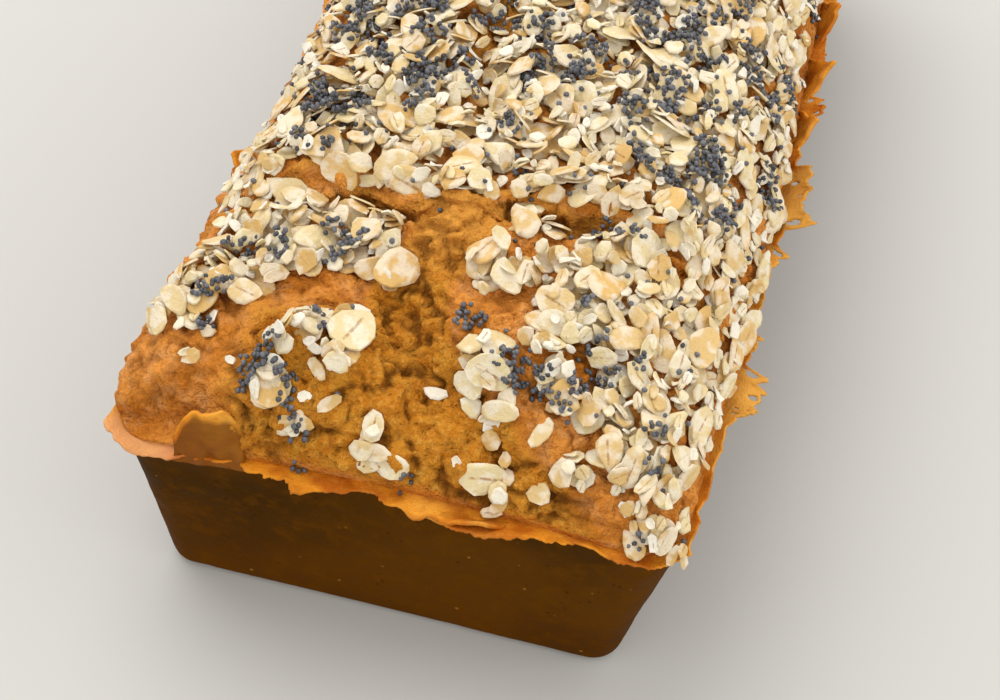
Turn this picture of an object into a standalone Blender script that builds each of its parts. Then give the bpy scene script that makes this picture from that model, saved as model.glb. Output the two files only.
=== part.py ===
"""A tin loaf: tapered sides shaped by the tin, a thin ragged crust flange round the rim, and a split,
lumpy dome covered with oat flakes. X runs across, the photographed end faces -Y, and Z is up."""

import bpy
import numpy as np

MM = 0.001

# Outer sizes, in millimetres
RIM_WIDTH = 114.0
RIM_LENGTH = 235.0
RIM_HEIGHT = 47.0
RIM_CORNER = 8.5
BASE_CORNER = 6.0
BASE_INSET_SIDE = 9.5
BASE_INSET_END = 7.0
BASE_SHIFT = -1.8
BASE_ROUNDING = 2.6
WALL_INSET_SIDE = 2.4
WALL_INSET_END = 2.2
END_HOLLOW = 3.4
SIDE_SWELL = 3.2
SIDE_DRAW = 6.5
DRAW_MIDDLE = 15.0
DRAW_REACH = 108.0

# Crust flange at the rim
FLANGE_THICKNESS = 1.5
FLANGE_RAGGED = 1.7
FLANGE_WAVE = 0.9
END_FILM_RISE = 1.8

# Dome above the rim: width of its shoulder along each side, and along the front end from left to right
SHOULDER_LEFT = 10.0
SHOULDER_RIGHT = 21.0
SHOULDER_BACK = 27.0
SHOULDER_FRONT_X = (-52.0, -30.0, -8.0, 20.0, 52.0)
SHOULDER_FRONT = (9.0, 12.0, 27.0, 32.0, 30.0)
CORNER_SHELF = 6.0
SHOULDER_RISE = 13.5
CROWN_RISE = 9.5
REAR_STEP = 2.6
LUMP_RISE = 1.3
LUMP_SIZE = 19.0

# Cross split behind the photographed end: points of its line, and its depth across the loaf
CROSS_X = (-57.0, -46.0, -35.0, -20.0, -9.0, 0.0, 9.0, 18.0, 28.0, 38.0, 57.0)
CROSS_Y = (-70.0, -66.0, -60.0, -59.5, -62.0, -62.5, -57.0, -54.0, -54.5, -58.0, -66.0)
CROSS_DEPTH = (0.8, 1.4, 3.6, 4.4, 5.0, 5.5, 6.0, 5.5, 4.0, 2.0, 0.8)
CROSS_WALL = 2.6
CROSS_RAMP = 7.0

# Mound of torn crumb where the two splits meet: centre x and y, half sizes across and along, and rise
MOUND = (0.5, -65.5, 9.5, 6.5, 4.0)

# Split along the middle: points of its line, its half width and its depth
LONG_Y = (
    -117.0, -108.0, -100.0, -92.0, -84.0, -76.0, -68.0, -58.0, -46.0, -36.0, -20.0, 0.0, 30.0, 60.0, 80.0
)
LONG_X = (16.0, 13.0, 5.0, -2.0, -4.0, -3.0, 1.0, 2.0, -1.0, -2.0, -6.0, -6.0, -3.0, -5.0, -4.0)
LONG_HALF = (26.0, 22.0, 13.0, 9.0, 7.5, 7.0, 9.0, 5.0, 3.0, 3.4, 3.2, 2.8, 3.0, 2.6, 2.0)
LONG_DEPTH = (2.2, 3.2, 4.2, 4.6, 4.6, 4.2, 3.0, 1.5, 1.2, 3.4, 4.2, 3.8, 4.0, 3.0, 0.5)

# Crust flaps standing at the rim: centre x and y, width, height, turn about Z, outward lean, and how blunt
FLAPS = (
    (-34.4, -114.6, 14.0, 12.0, 6.0, -15.0, 1.0),
    (15.0, -113.6, 17.0, 5.0, 0.0, 52.0, 0.9),
    (57.4, 18.0, 14.0, 10.5, 90.0, 32.0, 0.0),
    (57.0, 37.0, 17.0, 10.0, 92.0, 34.0, 0.1),
    (57.6, 1.0, 13.0, 8.5, 88.0, 34.0, 0.2),
    (-50.6, -41.0, 13.0, 6.5, -88.0, 56.0, 0.3),
    (-50.0, 12.0, 9.0, 6.0, -90.0, 28.0, 0.0),
    (-51.6, 64.0, 12.0, 7.5, -92.0, 24.0, 0.2),
    (22.0, 111.6, 14.0, 7.0, 176.0, 20.0, 0.4),
)
FLAP_FOOT = -1.2
FLAP_THICKNESS = 1.5

# Oat flakes
FLAKE_COUNT = 130
FLAKE_LONG = 9.0
FLAKE_SHORT = 6.6
FLAKE_THICK = 1.3
FLAKE_SIDES = 6
FLAKE_SEED = 11

# Grid lines across and along the top
GRID_ACROSS = 26
GRID_ALONG = 46


def lattice_value(ix, iy, iz, seed):
    """A repeatable value from 0 to 1 for each whole-number point."""
    mixed = (ix * 374761393 + iy * 668265263 + iz * 2147483647 + seed * 974634777) & 0xFFFFFFFF
    mixed = ((mixed ^ (mixed >> 13)) * 1274126177) & 0xFFFFFFFF
    return ((mixed ^ (mixed >> 16)) & 0xFFFFFF) / float(0xFFFFFF)


def smooth_noise(x, y, z, size, seed):
    """Smooth noise from -1 to 1 with lumps about the given size."""
    x, y, z = np.broadcast_arrays(*[np.asarray(axis, float) / size for axis in (x, y, z)])
    corner = [np.floor(axis).astype(np.int64) for axis in (x, y, z)]
    part = [axis - low for axis, low in zip((x, y, z), corner)]
    ease = [p * p * (3.0 - 2.0 * p) for p in part]
    total = np.zeros(x.shape)
    for dx in (0, 1):
        for dy in (0, 1):
            for dz in (0, 1):
                weight = np.ones(x.shape)
                for step, amount in zip((dx, dy, dz), ease):
                    weight = weight * (amount if step else 1.0 - amount)
                total += weight * lattice_value(corner[0] + dx, corner[1] + dy, corner[2] + dz, seed)
    return total * 2.0 - 1.0


def ease_between(value, low, high):
    """0 below low, 1 above high and smooth between them."""
    part = np.clip((value - low) / (high - low), 0.0, 1.0)
    return part * part * (3.0 - 2.0 * part)


def plan_point(s, t, half_x, half_y, radius):
    """Points of the unit square laid on a rectangle with rounded corners."""
    scale = np.maximum(np.abs(s), np.abs(t))
    x, y = np.abs(s) * half_x, np.abs(t) * half_y
    inner_x, inner_y = (half_x - radius) * scale, (half_y - radius) * scale
    in_corner = (x > inner_x) & (y > inner_y)
    angle = np.arctan2(y - inner_y, x - inner_x)
    x = np.where(in_corner, inner_x + radius * scale * np.cos(angle), x)
    y = np.where(in_corner, inner_y + radius * scale * np.sin(angle), y)
    return np.sign(s) * x, np.sign(t) * y


def side_shift(x, y):
    """Shift across of a side at mid-length: the right side swells out, the left one is drawn in."""
    along = np.clip(y * 2.0 / RIM_LENGTH, -1.0, 1.0)
    drawn = np.clip(1.0 - ((y - DRAW_MIDDLE) / DRAW_REACH) ** 2, 0.0, 1.0)
    return np.where(x > 0.0, SIDE_SWELL * (1.0 - along**2), SIDE_DRAW * drawn)


def bow(x, y, height):
    """The ends drawn in at mid-width and the sides shifted at mid-length, both fading towards the base."""
    level = np.clip(height / RIM_HEIGHT, 0.0, 1.0)
    across, along = np.clip(x * 2.0 / RIM_WIDTH, -1.0, 1.0), np.clip(y * 2.0 / RIM_LENGTH, -1.0, 1.0)
    share = np.where(x > 0.0, level, 0.55 + 0.45 * level)
    new_x = x + np.abs(across) * side_shift(x, y) * share + BASE_SHIFT * (1.0 - level)
    new_y = y - END_HOLLOW * along**3 * (1.0 - across**2) * level
    return new_x, new_y


def dome_height(x, y):
    """Height of the top crust over the floor at a point inside the rim."""
    half_x, half_y = RIM_WIDTH / 2 - WALL_INSET_SIDE, RIM_LENGTH / 2 - WALL_INSET_END
    half_x = half_x + np.sign(x) * side_shift(x, y)
    shelf = CORNER_SHELF * ease_between(-x, 27.0, 40.0) * (y < 0.0)
    inner_y = half_y - END_HOLLOW * (1.0 - np.clip(x / half_x, -1.0, 1.0) ** 2) - shelf
    gap_x, gap_y = np.maximum(half_x - np.abs(x), 0.0), np.maximum(inner_y - np.abs(y), 0.0)
    edge = gap_x * gap_y / np.sqrt(gap_x**2 + gap_y**2 + 1e-6)
    side = np.where(x < 0.0, SHOULDER_LEFT, SHOULDER_RIGHT)
    end = np.where(y < 0.0, np.interp(x, SHOULDER_FRONT_X, SHOULDER_FRONT), SHOULDER_BACK)
    part_x, part_y = gap_x / side, gap_y / end
    part = part_x * part_y / np.sqrt(part_x**2 + part_y**2 + 1e-6)
    shoulder = (1.0 - (1.0 - np.clip(part, 0.0, 1.0)) ** 2.3) ** 0.66
    crown = 1.0 - np.clip(np.abs(x) / half_x, 0.0, 1.0) ** 2.2
    crown = crown * (1.0 - np.clip(np.abs(y) / half_y, 0.0, 1.0) ** 4)
    cross_y = np.interp(x, CROSS_X, CROSS_Y)
    rear = ease_between(y - cross_y, -6.0, 0.0) * ease_between(edge, 0.0, 16.0)
    height = RIM_HEIGHT + 1.0 + SHOULDER_RISE * shoulder + CROWN_RISE * crown + REAR_STEP * rear
    lumps = smooth_noise(x, y, 0.0, LUMP_SIZE, 3) + 0.45 * smooth_noise(x, y, 9.0, LUMP_SIZE * 0.45, 4)
    height = height + LUMP_RISE * lumps * ease_between(edge, 0.0, 9.0)
    middle_x, middle_y, half_long, half_short, rise = MOUND
    mound = rise * np.exp(-(((x - middle_x) / half_long) ** 2) - ((y - middle_y) / half_short) ** 2)
    return height - split_depth(x, y) * ease_between(edge, 0.5, 9.0) + mound


def split_depth(x, y):
    """How far the torn splits go below the crust."""
    behind = y - np.interp(x, CROSS_X, CROSS_Y) - 1.6 * smooth_noise(x, 0.0, 0.0, 7.0, 21)
    wall = ease_between(behind, 0.0, -CROSS_WALL) * (1.0 - ease_between(-behind, CROSS_WALL, CROSS_RAMP))
    cross = np.interp(x, CROSS_X, CROSS_DEPTH) * wall * 1.25
    middle = np.interp(y, LONG_Y, LONG_X) + 1.8 * smooth_noise(0.0, y, 0.0, 9.0, 22)
    half = np.interp(y, LONG_Y, LONG_HALF)
    side = 1.0 - ease_between(np.abs(x - middle), half * 0.3, half * 1.45)
    along = np.interp(y, LONG_Y, LONG_DEPTH) * side
    rough = 1.0 + 0.35 * smooth_noise(x, y, 5.0, 6.0, 23)
    return np.maximum(cross, along) * rough


def rim_ring(s, t, inset_side, inset_end, height):
    """One ring of points round the loaf, at an inset from the rim's outer size."""
    half_x, half_y = RIM_WIDTH / 2 - inset_side, RIM_LENGTH / 2 - inset_end
    level = np.clip(height / RIM_HEIGHT, 0.0, 1.0)
    x, y = plan_point(s, t, half_x, half_y, BASE_CORNER + (RIM_CORNER - BASE_CORNER) * level)
    x, y = bow(x, y, height)
    return np.stack([x, y, np.broadcast_to(height, x.shape)], axis=-1)


def wall_insets(height):
    """Insets of the tapered side wall from the rim's outer size, at a height."""
    down = 1.0 - height / RIM_HEIGHT
    side = WALL_INSET_SIDE + (BASE_INSET_SIDE - WALL_INSET_SIDE) * down
    end = WALL_INSET_END + (BASE_INSET_END - WALL_INSET_END) * down
    return side, end


def mesh_object(name, points, faces):
    """A mesh object from points in millimetres."""
    mesh = bpy.data.meshes.new(name)
    mesh.from_pydata([tuple(p) for p in np.asarray(points) * MM], [], faces)
    mesh.validate()
    obj = bpy.data.objects.new(name, mesh)
    bpy.context.scene.collection.objects.link(obj)
    return obj


def build_body():
    """The closed body: gridded dome, ragged flange, tapered wall and flat base."""
    s_lines, t_lines = np.linspace(-1, 1, GRID_ACROSS + 1), np.linspace(-1, 1, GRID_ALONG + 1)
    s, t = np.meshgrid(s_lines, t_lines, indexing="ij")
    top = rim_ring(s, t, WALL_INSET_SIDE, WALL_INSET_END, RIM_HEIGHT)
    top[..., 2] = dome_height(top[..., 0], top[..., 1])
    width = GRID_ALONG + 1
    faces = [
        (i * width + j, (i + 1) * width + j, (i + 1) * width + j + 1, i * width + j + 1)
        for i in range(GRID_ACROSS)
        for j in range(GRID_ALONG)
    ]
    border = [(i, 0) for i in range(GRID_ACROSS)]
    border += [(GRID_ACROSS, j) for j in range(GRID_ALONG)]
    border += [(i, GRID_ALONG) for i in range(GRID_ACROSS, 0, -1)]
    border += [(0, j) for j in range(GRID_ALONG, 0, -1)]
    rows, columns = np.array(border).T
    ring_s, ring_t = s_lines[rows], t_lines[columns]
    place = rim_ring(ring_s, ring_t, 0.0, 0.0, RIM_HEIGHT)
    ragged = FLANGE_RAGGED * np.abs(smooth_noise(place[:, 0], place[:, 1], 2.0, 5.0, 31))
    wave = FLANGE_WAVE * smooth_noise(place[:, 0], place[:, 1], 2.0, 8.0, 32)
    at_end = ease_between(-place[:, 1], RIM_LENGTH / 2 - 9.0, RIM_LENGTH / 2 - 5.0)
    film = END_FILM_RISE * at_end * (1.0 + 0.6 * smooth_noise(place[:, 0], 0.0, 0.0, 11.0, 33))
    rings = []
    outer = rim_ring(ring_s, ring_t, ragged, ragged, RIM_HEIGHT + 0.7 + wave + film)
    rings.append(outer)
    under = rim_ring(ring_s, ring_t, ragged + 0.4, ragged + 0.4, RIM_HEIGHT + 0.7 - FLANGE_THICKNESS + wave)
    rings.append(under)
    for height in (RIM_HEIGHT - 1.6, 24.0, BASE_ROUNDING):
        rings.append(rim_ring(ring_s, ring_t, *wall_insets(height), height))
    side, end = wall_insets(0.0)
    rings.append(rim_ring(ring_s, ring_t, side + 0.7, end + 0.7, BASE_ROUNDING * 0.3))
    rings.append(rim_ring(ring_s, ring_t, side + 2.4, end + 2.4, 0.0))
    points = [top.reshape(-1, 3)]
    last = rows * width + columns
    first_free, count = top.shape[0] * width, len(border)
    for ring in rings:
        points.append(ring)
        new = first_free + np.arange(count)
        for k in range(count):
            after = (k + 1) % count
            faces.append((int(last[k]), int(new[k]), int(new[after]), int(last[after])))
        last = new
        first_free += count
    faces.append(tuple(int(k) for k in last[::-1]))
    return mesh_object("loaf", np.concatenate(points), faces)


def turned(points, yaw, lean):
    """Points turned by lean about X, then by yaw about Z, in degrees."""
    yaw, lean = np.radians([yaw, lean])
    about_x = np.array([[1, 0, 0], [0, np.cos(lean), -np.sin(lean)], [0, np.sin(lean), np.cos(lean)]])
    about_z = np.array([[np.cos(yaw), -np.sin(yaw), 0], [np.sin(yaw), np.cos(yaw), 0], [0, 0, 1]])
    return points @ about_x.T @ about_z.T


def build_flap(number, x, y, width, height, yaw, lean, blunt):
    """A thin curled flap of crust with an uneven top edge, its foot sunk in the rim."""
    across = np.linspace(-0.5, 0.5, 6)
    side = np.abs(across) * 2.0
    profile = blunt * (1.0 - 0.55 * side**3.5) + (1.0 - blunt) * (1.0 - 0.85 * side)
    profile = np.maximum(profile - 0.12 * smooth_noise(across * width, number * 7.0, 0.0, 3.0, 41), 0.12)
    levels = (0.0, 0.25, 0.62, 1.0)
    points = []
    for face in (-0.5, 0.5):
        for level in levels:
            z = FLAP_FOOT + (height * profile - FLAP_FOOT) * level
            narrow = 1.0 - 0.12 * level
            curl = 1.4 * across * side * level
            thick = FLAP_THICKNESS * (1.0 - 0.35 * level)
            points.append(np.stack([across * width * narrow, face * thick + curl, z], axis=-1))
    grid = np.concatenate(points)
    columns, rows = len(across), len(levels)
    half = columns * rows
    faces = []
    for r in range(rows - 1):
        for c in range(columns - 1):
            a = r * columns + c
            faces.append((a, a + 1, a + columns + 1, a + columns))
            faces.append((half + a, half + a + columns, half + a + columns + 1, half + a + 1))
    edge = [r * columns for r in range(rows)] + [(rows - 1) * columns + c for c in range(1, columns)]
    edge += [r * columns + columns - 1 for r in range(rows - 2, -1, -1)] + list(range(columns - 2, 0, -1))
    for k, a in enumerate(edge):
        b = edge[(k + 1) % len(edge)]
        faces.append((a, half + a, half + b, b)[::-1])
    placed = turned(grid, yaw, lean) + np.array([x, y, RIM_HEIGHT])
    return mesh_object("flap_%d" % number, placed, faces)


def flake_share(x, y):
    """How closely oat flakes lie at a point: dense behind the cross split, sparse on torn crumb."""
    behind = ease_between(y - np.interp(x, CROSS_X, CROSS_Y), -2.0, 2.0)
    torn = np.clip(split_depth(x, y) / 3.0, 0.0, 1.0)
    front_left = ease_between(-x, 4.0, 20.0) * ease_between(-y, 82.0, 92.0)
    front = 0.62 * (1.0 - 0.75 * front_left)
    return (front + (1.0 - front) * behind) * (1.0 - 0.85 * torn)


def flake_sites():
    """Seeded places for the flakes, spread evenly and taken where the share allows."""
    random = np.random.default_rng(FLAKE_SEED)
    half_x, half_y = RIM_WIDTH / 2 - 7.5, RIM_LENGTH / 2 - 8.5
    found = []
    spacing = 11.0
    while len(found) < FLAKE_COUNT and spacing > 4.0:
        for _ in range(900):
            x, y = random.uniform(-half_x, half_x), random.uniform(-half_y, half_y)
            x = x + abs(x) / half_x * float(side_shift(x, y))
            if random.random() > flake_share(x, y) or len(found) >= FLAKE_COUNT:
                continue
            if all((x - a) ** 2 + (y - b) ** 2 > spacing**2 for a, b in found):
                found.append((x, y))
        spacing -= 0.8
    return found


def build_flake(number, x, y, random):
    """One oat flake: an uneven rounded plate, lying on the crust with a slight tilt and partly sunk."""
    size = random.uniform(0.82, 1.12)
    angles = np.arange(FLAKE_SIDES) * 2 * np.pi / FLAKE_SIDES
    radius = 1.0 + random.uniform(-0.13, 0.13, FLAKE_SIDES)
    half_sizes = np.array([FLAKE_LONG / 2, FLAKE_SHORT / 2]) * size
    ring = np.stack([np.cos(angles) * radius, np.sin(angles) * radius], axis=-1) * half_sizes
    middle = FLAKE_THICK / 2
    lower = np.column_stack([ring * 0.92, np.full(FLAKE_SIDES, -middle * 0.8)])
    upper = np.column_stack([ring, np.full(FLAKE_SIDES, middle * 0.6)])
    local = np.concatenate([lower, upper, [[0, 0, -middle], [0, 0, middle * 1.3]]])
    step = 2.5
    slope_x = float(dome_height(x + step, y) - dome_height(x - step, y)) / (2 * step)
    slope_y = float(dome_height(x, y + step) - dome_height(x, y - step)) / (2 * step)
    normal = np.array([-slope_x, -slope_y, 1.0]) + random.uniform(-0.24, 0.24, 3)
    normal = normal / np.linalg.norm(normal)
    heading = random.uniform(0, 2 * np.pi)
    first = np.cross([np.cos(heading), np.sin(heading), 0.0], normal)
    first = first / np.linalg.norm(first)
    second = np.cross(normal, first)
    base = np.array([x, y, float(dome_height(x, y))]) + normal * (middle * 0.35)
    placed = local @ np.array([first, second, normal]) + base
    n = FLAKE_SIDES
    faces = []
    for k in range(n):
        after = (k + 1) % n
        faces.append((2 * n, after, k))
        faces.append((k, after, n + after, n + k))
        faces.append((n + k, n + after, 2 * n + 1))
    return mesh_object("flake_%03d" % number, placed, faces)


def crust_material():
    """Baked crust, golden brown and dull."""
    material = bpy.data.materials.new("crust")
    material.use_nodes = True
    shader = material.node_tree.nodes["Principled BSDF"]
    shader.inputs["Base Color"].default_value = (0.50, 0.235, 0.068, 1.0)
    shader.inputs["Roughness"].default_value = 0.68
    return material


def centre_on_base(body):
    """Moves the mesh so that the origin is at the bottom centre of its outer box."""
    points = np.array([tuple(vertex.co) for vertex in body.data.vertices])
    low, high = points.min(axis=0), points.max(axis=0)
    shift = np.array([(low[0] + high[0]) / 2, (low[1] + high[1]) / 2, low[2]])
    for vertex, point in zip(body.data.vertices, points - shift):
        vertex.co = point
    print("moved by", np.round(-shift / MM, 4).tolist(), "mm")


def join_by_union(body, additions):
    """Fuses the additions to the body with one union, and removes them."""
    collection = bpy.data.collections.new("additions")
    bpy.context.scene.collection.children.link(collection)
    for obj in additions:
        bpy.context.scene.collection.objects.unlink(obj)
        collection.objects.link(obj)
    union = body.modifiers.new("union", "BOOLEAN")
    union.operation = "UNION"
    union.operand_type = "COLLECTION"
    union.collection = collection
    union.solver = "EXACT"
    union.use_self = False
    bpy.context.view_layer.objects.active = body
    body.select_set(True)
    bpy.ops.object.modifier_apply(modifier=union.name)
    for obj in additions:
        bpy.data.objects.remove(obj, do_unlink=True)
    bpy.data.collections.remove(collection)


def keep_outer_shell(body):
    """Keeps the one connected outer surface, so that no sealed hollow or loose scrap is left."""
    mesh = body.data
    count = len(mesh.vertices)
    parent = list(range(count))

    def root(index):
        while parent[index] != index:
            parent[index] = parent[parent[index]]
            index = parent[index]
        return index

    for edge in mesh.edges:
        a, b = root(edge.vertices[0]), root(edge.vertices[1])
        parent[a] = b
    groups = {}
    for index in range(count):
        groups.setdefault(root(index), []).append(index)
    keep = max(groups.values(), key=len)
    kept = set(keep)
    order = {old: new for new, old in enumerate(keep)}
    points = [tuple(mesh.vertices[old].co) for old in keep]
    faces = [tuple(order[v] for v in face.vertices) for face in mesh.polygons if face.vertices[0] in kept]
    clean = bpy.data.meshes.new("loaf")
    clean.from_pydata(points, [], faces)
    body.data = clean
    bpy.data.meshes.remove(mesh)


def main():
    for obj in list(bpy.data.objects):
        bpy.data.objects.remove(obj, do_unlink=True)
    body = build_body()
    random = np.random.default_rng(FLAKE_SEED + 1)
    additions = [build_flap(number, *flap) for number, flap in enumerate(FLAPS)]
    additions += [build_flake(number, x, y, random) for number, (x, y) in enumerate(flake_sites())]
    join_by_union(body, additions)
    keep_outer_shell(body)
    centre_on_base(body)
    body.data.materials.clear()
    body.data.materials.append(crust_material())
    body.data.name = "loaf"


main()
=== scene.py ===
"""A tin loaf with oat flakes and poppy seeds baked onto its split top, and the stage it is shown on.

Each operator in the sidebar makes one group of pieces, in metres, with Z up and the photographed end at -Y.
"""

import bpy
import numpy as np
from bpy.props import (
    FloatProperty,
    FloatVectorProperty,
    IntProperty,
    PointerProperty,
)
from mathutils import Matrix, Vector


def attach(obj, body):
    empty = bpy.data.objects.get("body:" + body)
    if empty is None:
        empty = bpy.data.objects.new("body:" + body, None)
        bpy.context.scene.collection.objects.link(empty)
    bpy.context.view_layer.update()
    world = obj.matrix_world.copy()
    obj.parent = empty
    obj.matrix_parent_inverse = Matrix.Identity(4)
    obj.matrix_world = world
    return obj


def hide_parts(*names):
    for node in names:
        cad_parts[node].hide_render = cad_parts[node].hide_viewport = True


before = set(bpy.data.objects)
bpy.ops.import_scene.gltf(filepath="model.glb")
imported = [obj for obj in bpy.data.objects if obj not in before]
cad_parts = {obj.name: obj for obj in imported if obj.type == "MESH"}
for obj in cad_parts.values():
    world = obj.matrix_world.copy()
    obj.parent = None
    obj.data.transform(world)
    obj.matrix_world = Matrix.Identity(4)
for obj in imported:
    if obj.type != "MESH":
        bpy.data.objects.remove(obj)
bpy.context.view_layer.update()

bl_info = {
    "name": "Tin Loaf",
    "version": (1, 0, 0),
    "blender": (4, 5, 0),
    "location": "View3D > Sidebar > Tin Loaf",
    "description": "Builds a tin loaf with a torn crust, a ragged rim, oat flakes and poppy seeds",
    "category": "Add Mesh",
}

MM = 0.001
BODY = "root"
NODE = "loaf"
SHIFT = (-2.63, 0.76, 0.0)


# Colours


def paint(red, green, blue):
    """A linear colour from the 0 to 255 numbers of a paint chart."""
    values = [channel / 255.0 for channel in (red, green, blue)]
    return tuple(v / 12.92 if v <= 0.04045 else ((v + 0.055) / 1.055) ** 2.4 for v in values)


# Sizes and colours that a user can change


class LoafSizes(bpy.types.PropertyGroup):
    """Outer sizes of the loaf, which match the solid it covers."""

    rim_width: FloatProperty(
        name="Rim width", description="Across the rim at an end", default=0.114, unit="LENGTH"
    )
    rim_length: FloatProperty(
        name="Rim length", description="Along the rim", default=0.235, unit="LENGTH"
    )
    rim_height: FloatProperty(
        name="Rim height", description="From the base to the rim", default=0.047, unit="LENGTH"
    )
    shoulder_rise: FloatProperty(
        name="Shoulder rise", description="Height of the dome's shoulder", default=0.0135, unit="LENGTH"
    )
    crown_rise: FloatProperty(
        name="Crown rise", description="Further height at the crown", default=0.0095, unit="LENGTH"
    )
    film_length: FloatProperty(
        name="Rim crust length", description="Reach of the thin rim crust", default=0.0048, unit="LENGTH"
    )
    film_thickness: FloatProperty(
        name="Rim crust thickness", description="Thickness of that crust", default=0.00045, unit="LENGTH"
    )


class ToppingSettings(bpy.types.PropertyGroup):
    """Number and size of the oat flakes and poppy seeds."""

    whole_flakes: IntProperty(
        name="Whole flakes", description="Number of whole oat flakes", default=900, min=0
    )
    broken_flakes: IntProperty(
        name="Broken flakes", description="Number of broken flakes", default=2900, min=0
    )
    floury_bits: IntProperty(
        name="Floury bits", description="Number of pale small bits", default=2600, min=0
    )
    seed_heaps: IntProperty(
        name="Seed heaps", description="Number of further heaps of poppy seeds", default=180, min=0
    )
    loose_seeds: IntProperty(
        name="Loose seeds", description="Number of poppy seeds that lie alone", default=500, min=0
    )
    flake_length: FloatProperty(
        name="Flake length", description="Length of a common whole flake", default=0.0076, unit="LENGTH"
    )
    seed_width: FloatProperty(
        name="Seed width", description="Width of a poppy seed", default=0.00115, unit="LENGTH"
    )
    seed: IntProperty(name="Seed", description="Another number gives another scatter", default=5)


class LoafColours(bpy.types.PropertyGroup):
    """Main colours of the loaf and its toppings."""

    crust: FloatVectorProperty(
        name="Crust", description="Top crust", subtype="COLOR", default=paint(240, 156, 66)
    )
    crust_deep: FloatVectorProperty(
        name="Deep crust", description="More baked crust", subtype="COLOR", default=paint(206, 122, 30)
    )
    crumb: FloatVectorProperty(
        name="Crumb", description="Torn crumb", subtype="COLOR", default=paint(218, 147, 44)
    )
    # Painted shade: the colour that darkens the crumb's hollows, standing in for the shade that falls in them
    crumb_hollow_shade: FloatVectorProperty(
        name="Deep crumb", description="Hollows of the crumb", subtype="COLOR", default=paint(112, 62, 0)
    )
    # Both side colours are the tin-baked crust's own darker brown, further darkened as painted shade on the
    # sides
    side: FloatVectorProperty(
        name="Side", description="Crust against the tin", subtype="COLOR", default=paint(86, 50, 2)
    )
    side_deep: FloatVectorProperty(
        name="Deep side", description="Darker tin-baked crust", subtype="COLOR", default=paint(63, 37, 1)
    )
    film: FloatVectorProperty(
        name="Rim crust", description="Thin crust at the rim", subtype="COLOR", default=paint(224, 142, 32)
    )
    flake: FloatVectorProperty(
        name="Oat flake", description="Pale oat flake", subtype="COLOR", default=paint(221, 203, 158)
    )
    flake_toasted: FloatVectorProperty(
        name="Toasted flake", description="Toasted oat flake", subtype="COLOR", default=paint(213, 174, 108)
    )
    flour: FloatVectorProperty(
        name="Floury bit", description="White floury bit", subtype="COLOR", default=paint(234, 227, 212)
    )
    poppy: FloatVectorProperty(
        name="Poppy seed", description="Poppy seed", subtype="COLOR", default=paint(86, 87, 93)
    )


# Repeatable noise


def lattice_value(ix, iy, iz, seed):
    """A repeatable value from 0 to 1 for each whole-number point."""
    mixed = (ix * 374761393 + iy * 668265263 + iz * 2147483647 + seed * 974634777) & 0xFFFFFFFF
    mixed = ((mixed ^ (mixed >> 13)) * 1274126177) & 0xFFFFFFFF
    return ((mixed ^ (mixed >> 16)) & 0xFFFFFF) / float(0xFFFFFF)


def smooth_noise(x, y, z, size, seed):
    """Smooth noise from -1 to 1 with lumps about the given size."""
    axes = np.broadcast_arrays(*[np.asarray(axis, float) / size for axis in (x, y, z)])
    corner = [np.floor(axis).astype(np.int64) for axis in axes]
    part = [axis - low for axis, low in zip(axes, corner)]
    ease = [p * p * (3.0 - 2.0 * p) for p in part]
    total = np.zeros(axes[0].shape)
    for dx in (0, 1):
        for dy in (0, 1):
            for dz in (0, 1):
                weight = np.ones(axes[0].shape)
                for step, amount in zip((dx, dy, dz), ease):
                    weight = weight * (amount if step else 1.0 - amount)
                total += weight * lattice_value(corner[0] + dx, corner[1] + dy, corner[2] + dz, seed)
    return total * 2.0 - 1.0


def puffs(x, y, z, size, seed):
    """Rounded lumps parted by narrow creases, about 0 on average."""
    return np.abs(smooth_noise(x, y, z, size, seed)) * 2.6 - 0.7


def bubbles(x, y, z, size, share, seed):
    """Depth from 0 to 1 inside round holes scattered one to a cell, of which only a share are open."""
    axes = [np.asarray(axis, float) / size for axis in (x, y, z)]
    corner = [np.floor(axis).astype(np.int64) for axis in axes]
    deepest = np.zeros(axes[0].shape)
    for dx in (-1, 0, 1):
        for dy in (-1, 0, 1):
            for dz in (-1, 0, 1):
                cell = (corner[0] + dx, corner[1] + dy, corner[2] + dz)
                open_hole = lattice_value(*cell, seed) < share
                radius = 0.28 + 0.34 * lattice_value(*cell, seed + 1)
                away = sum(
                    (c + lattice_value(*cell, seed + 2 + k) - axis) ** 2
                    for k, (c, axis) in enumerate(zip(cell, axes))
                )
                inside = np.sqrt(np.clip(radius**2 - away, 0.0, None)) / 0.62
                deepest = np.maximum(deepest, np.where(open_hole, inside, 0.0))
    return deepest


def ease_between(value, low, high):
    """0 below low, 1 above high and smooth between them."""
    part = np.clip((value - low) / (high - low), 0.0, 1.0)
    return part * part * (3.0 - 2.0 * part)


# Form of the loaf, in millimetres

RIM_CORNER = 8.5
BASE_CORNER = 6.0
BASE_INSET_SIDE = 9.5
BASE_INSET_END = 7.0
BASE_SHIFT = -1.8
BASE_ROUNDING = 2.6
WALL_INSET_SIDE = 2.4
WALL_INSET_END = 2.2
END_HOLLOW = 3.4
SIDE_SWELL = 3.2
SIDE_DRAW = 6.5
DRAW_MIDDLE = 15.0
DRAW_REACH = 108.0
CORNER_SHELF = 6.0
SHOULDER_LEFT = 10.0
SHOULDER_RIGHT = 21.0
SHOULDER_BACK = 27.0
SHOULDER_FRONT_X = (-52.0, -30.0, -8.0, 20.0, 52.0)
SHOULDER_FRONT = (9.0, 12.0, 27.0, 32.0, 30.0)
REAR_STEP = 2.6
LUMP_RISE = 1.3
LUMP_SIZE = 19.0

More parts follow.
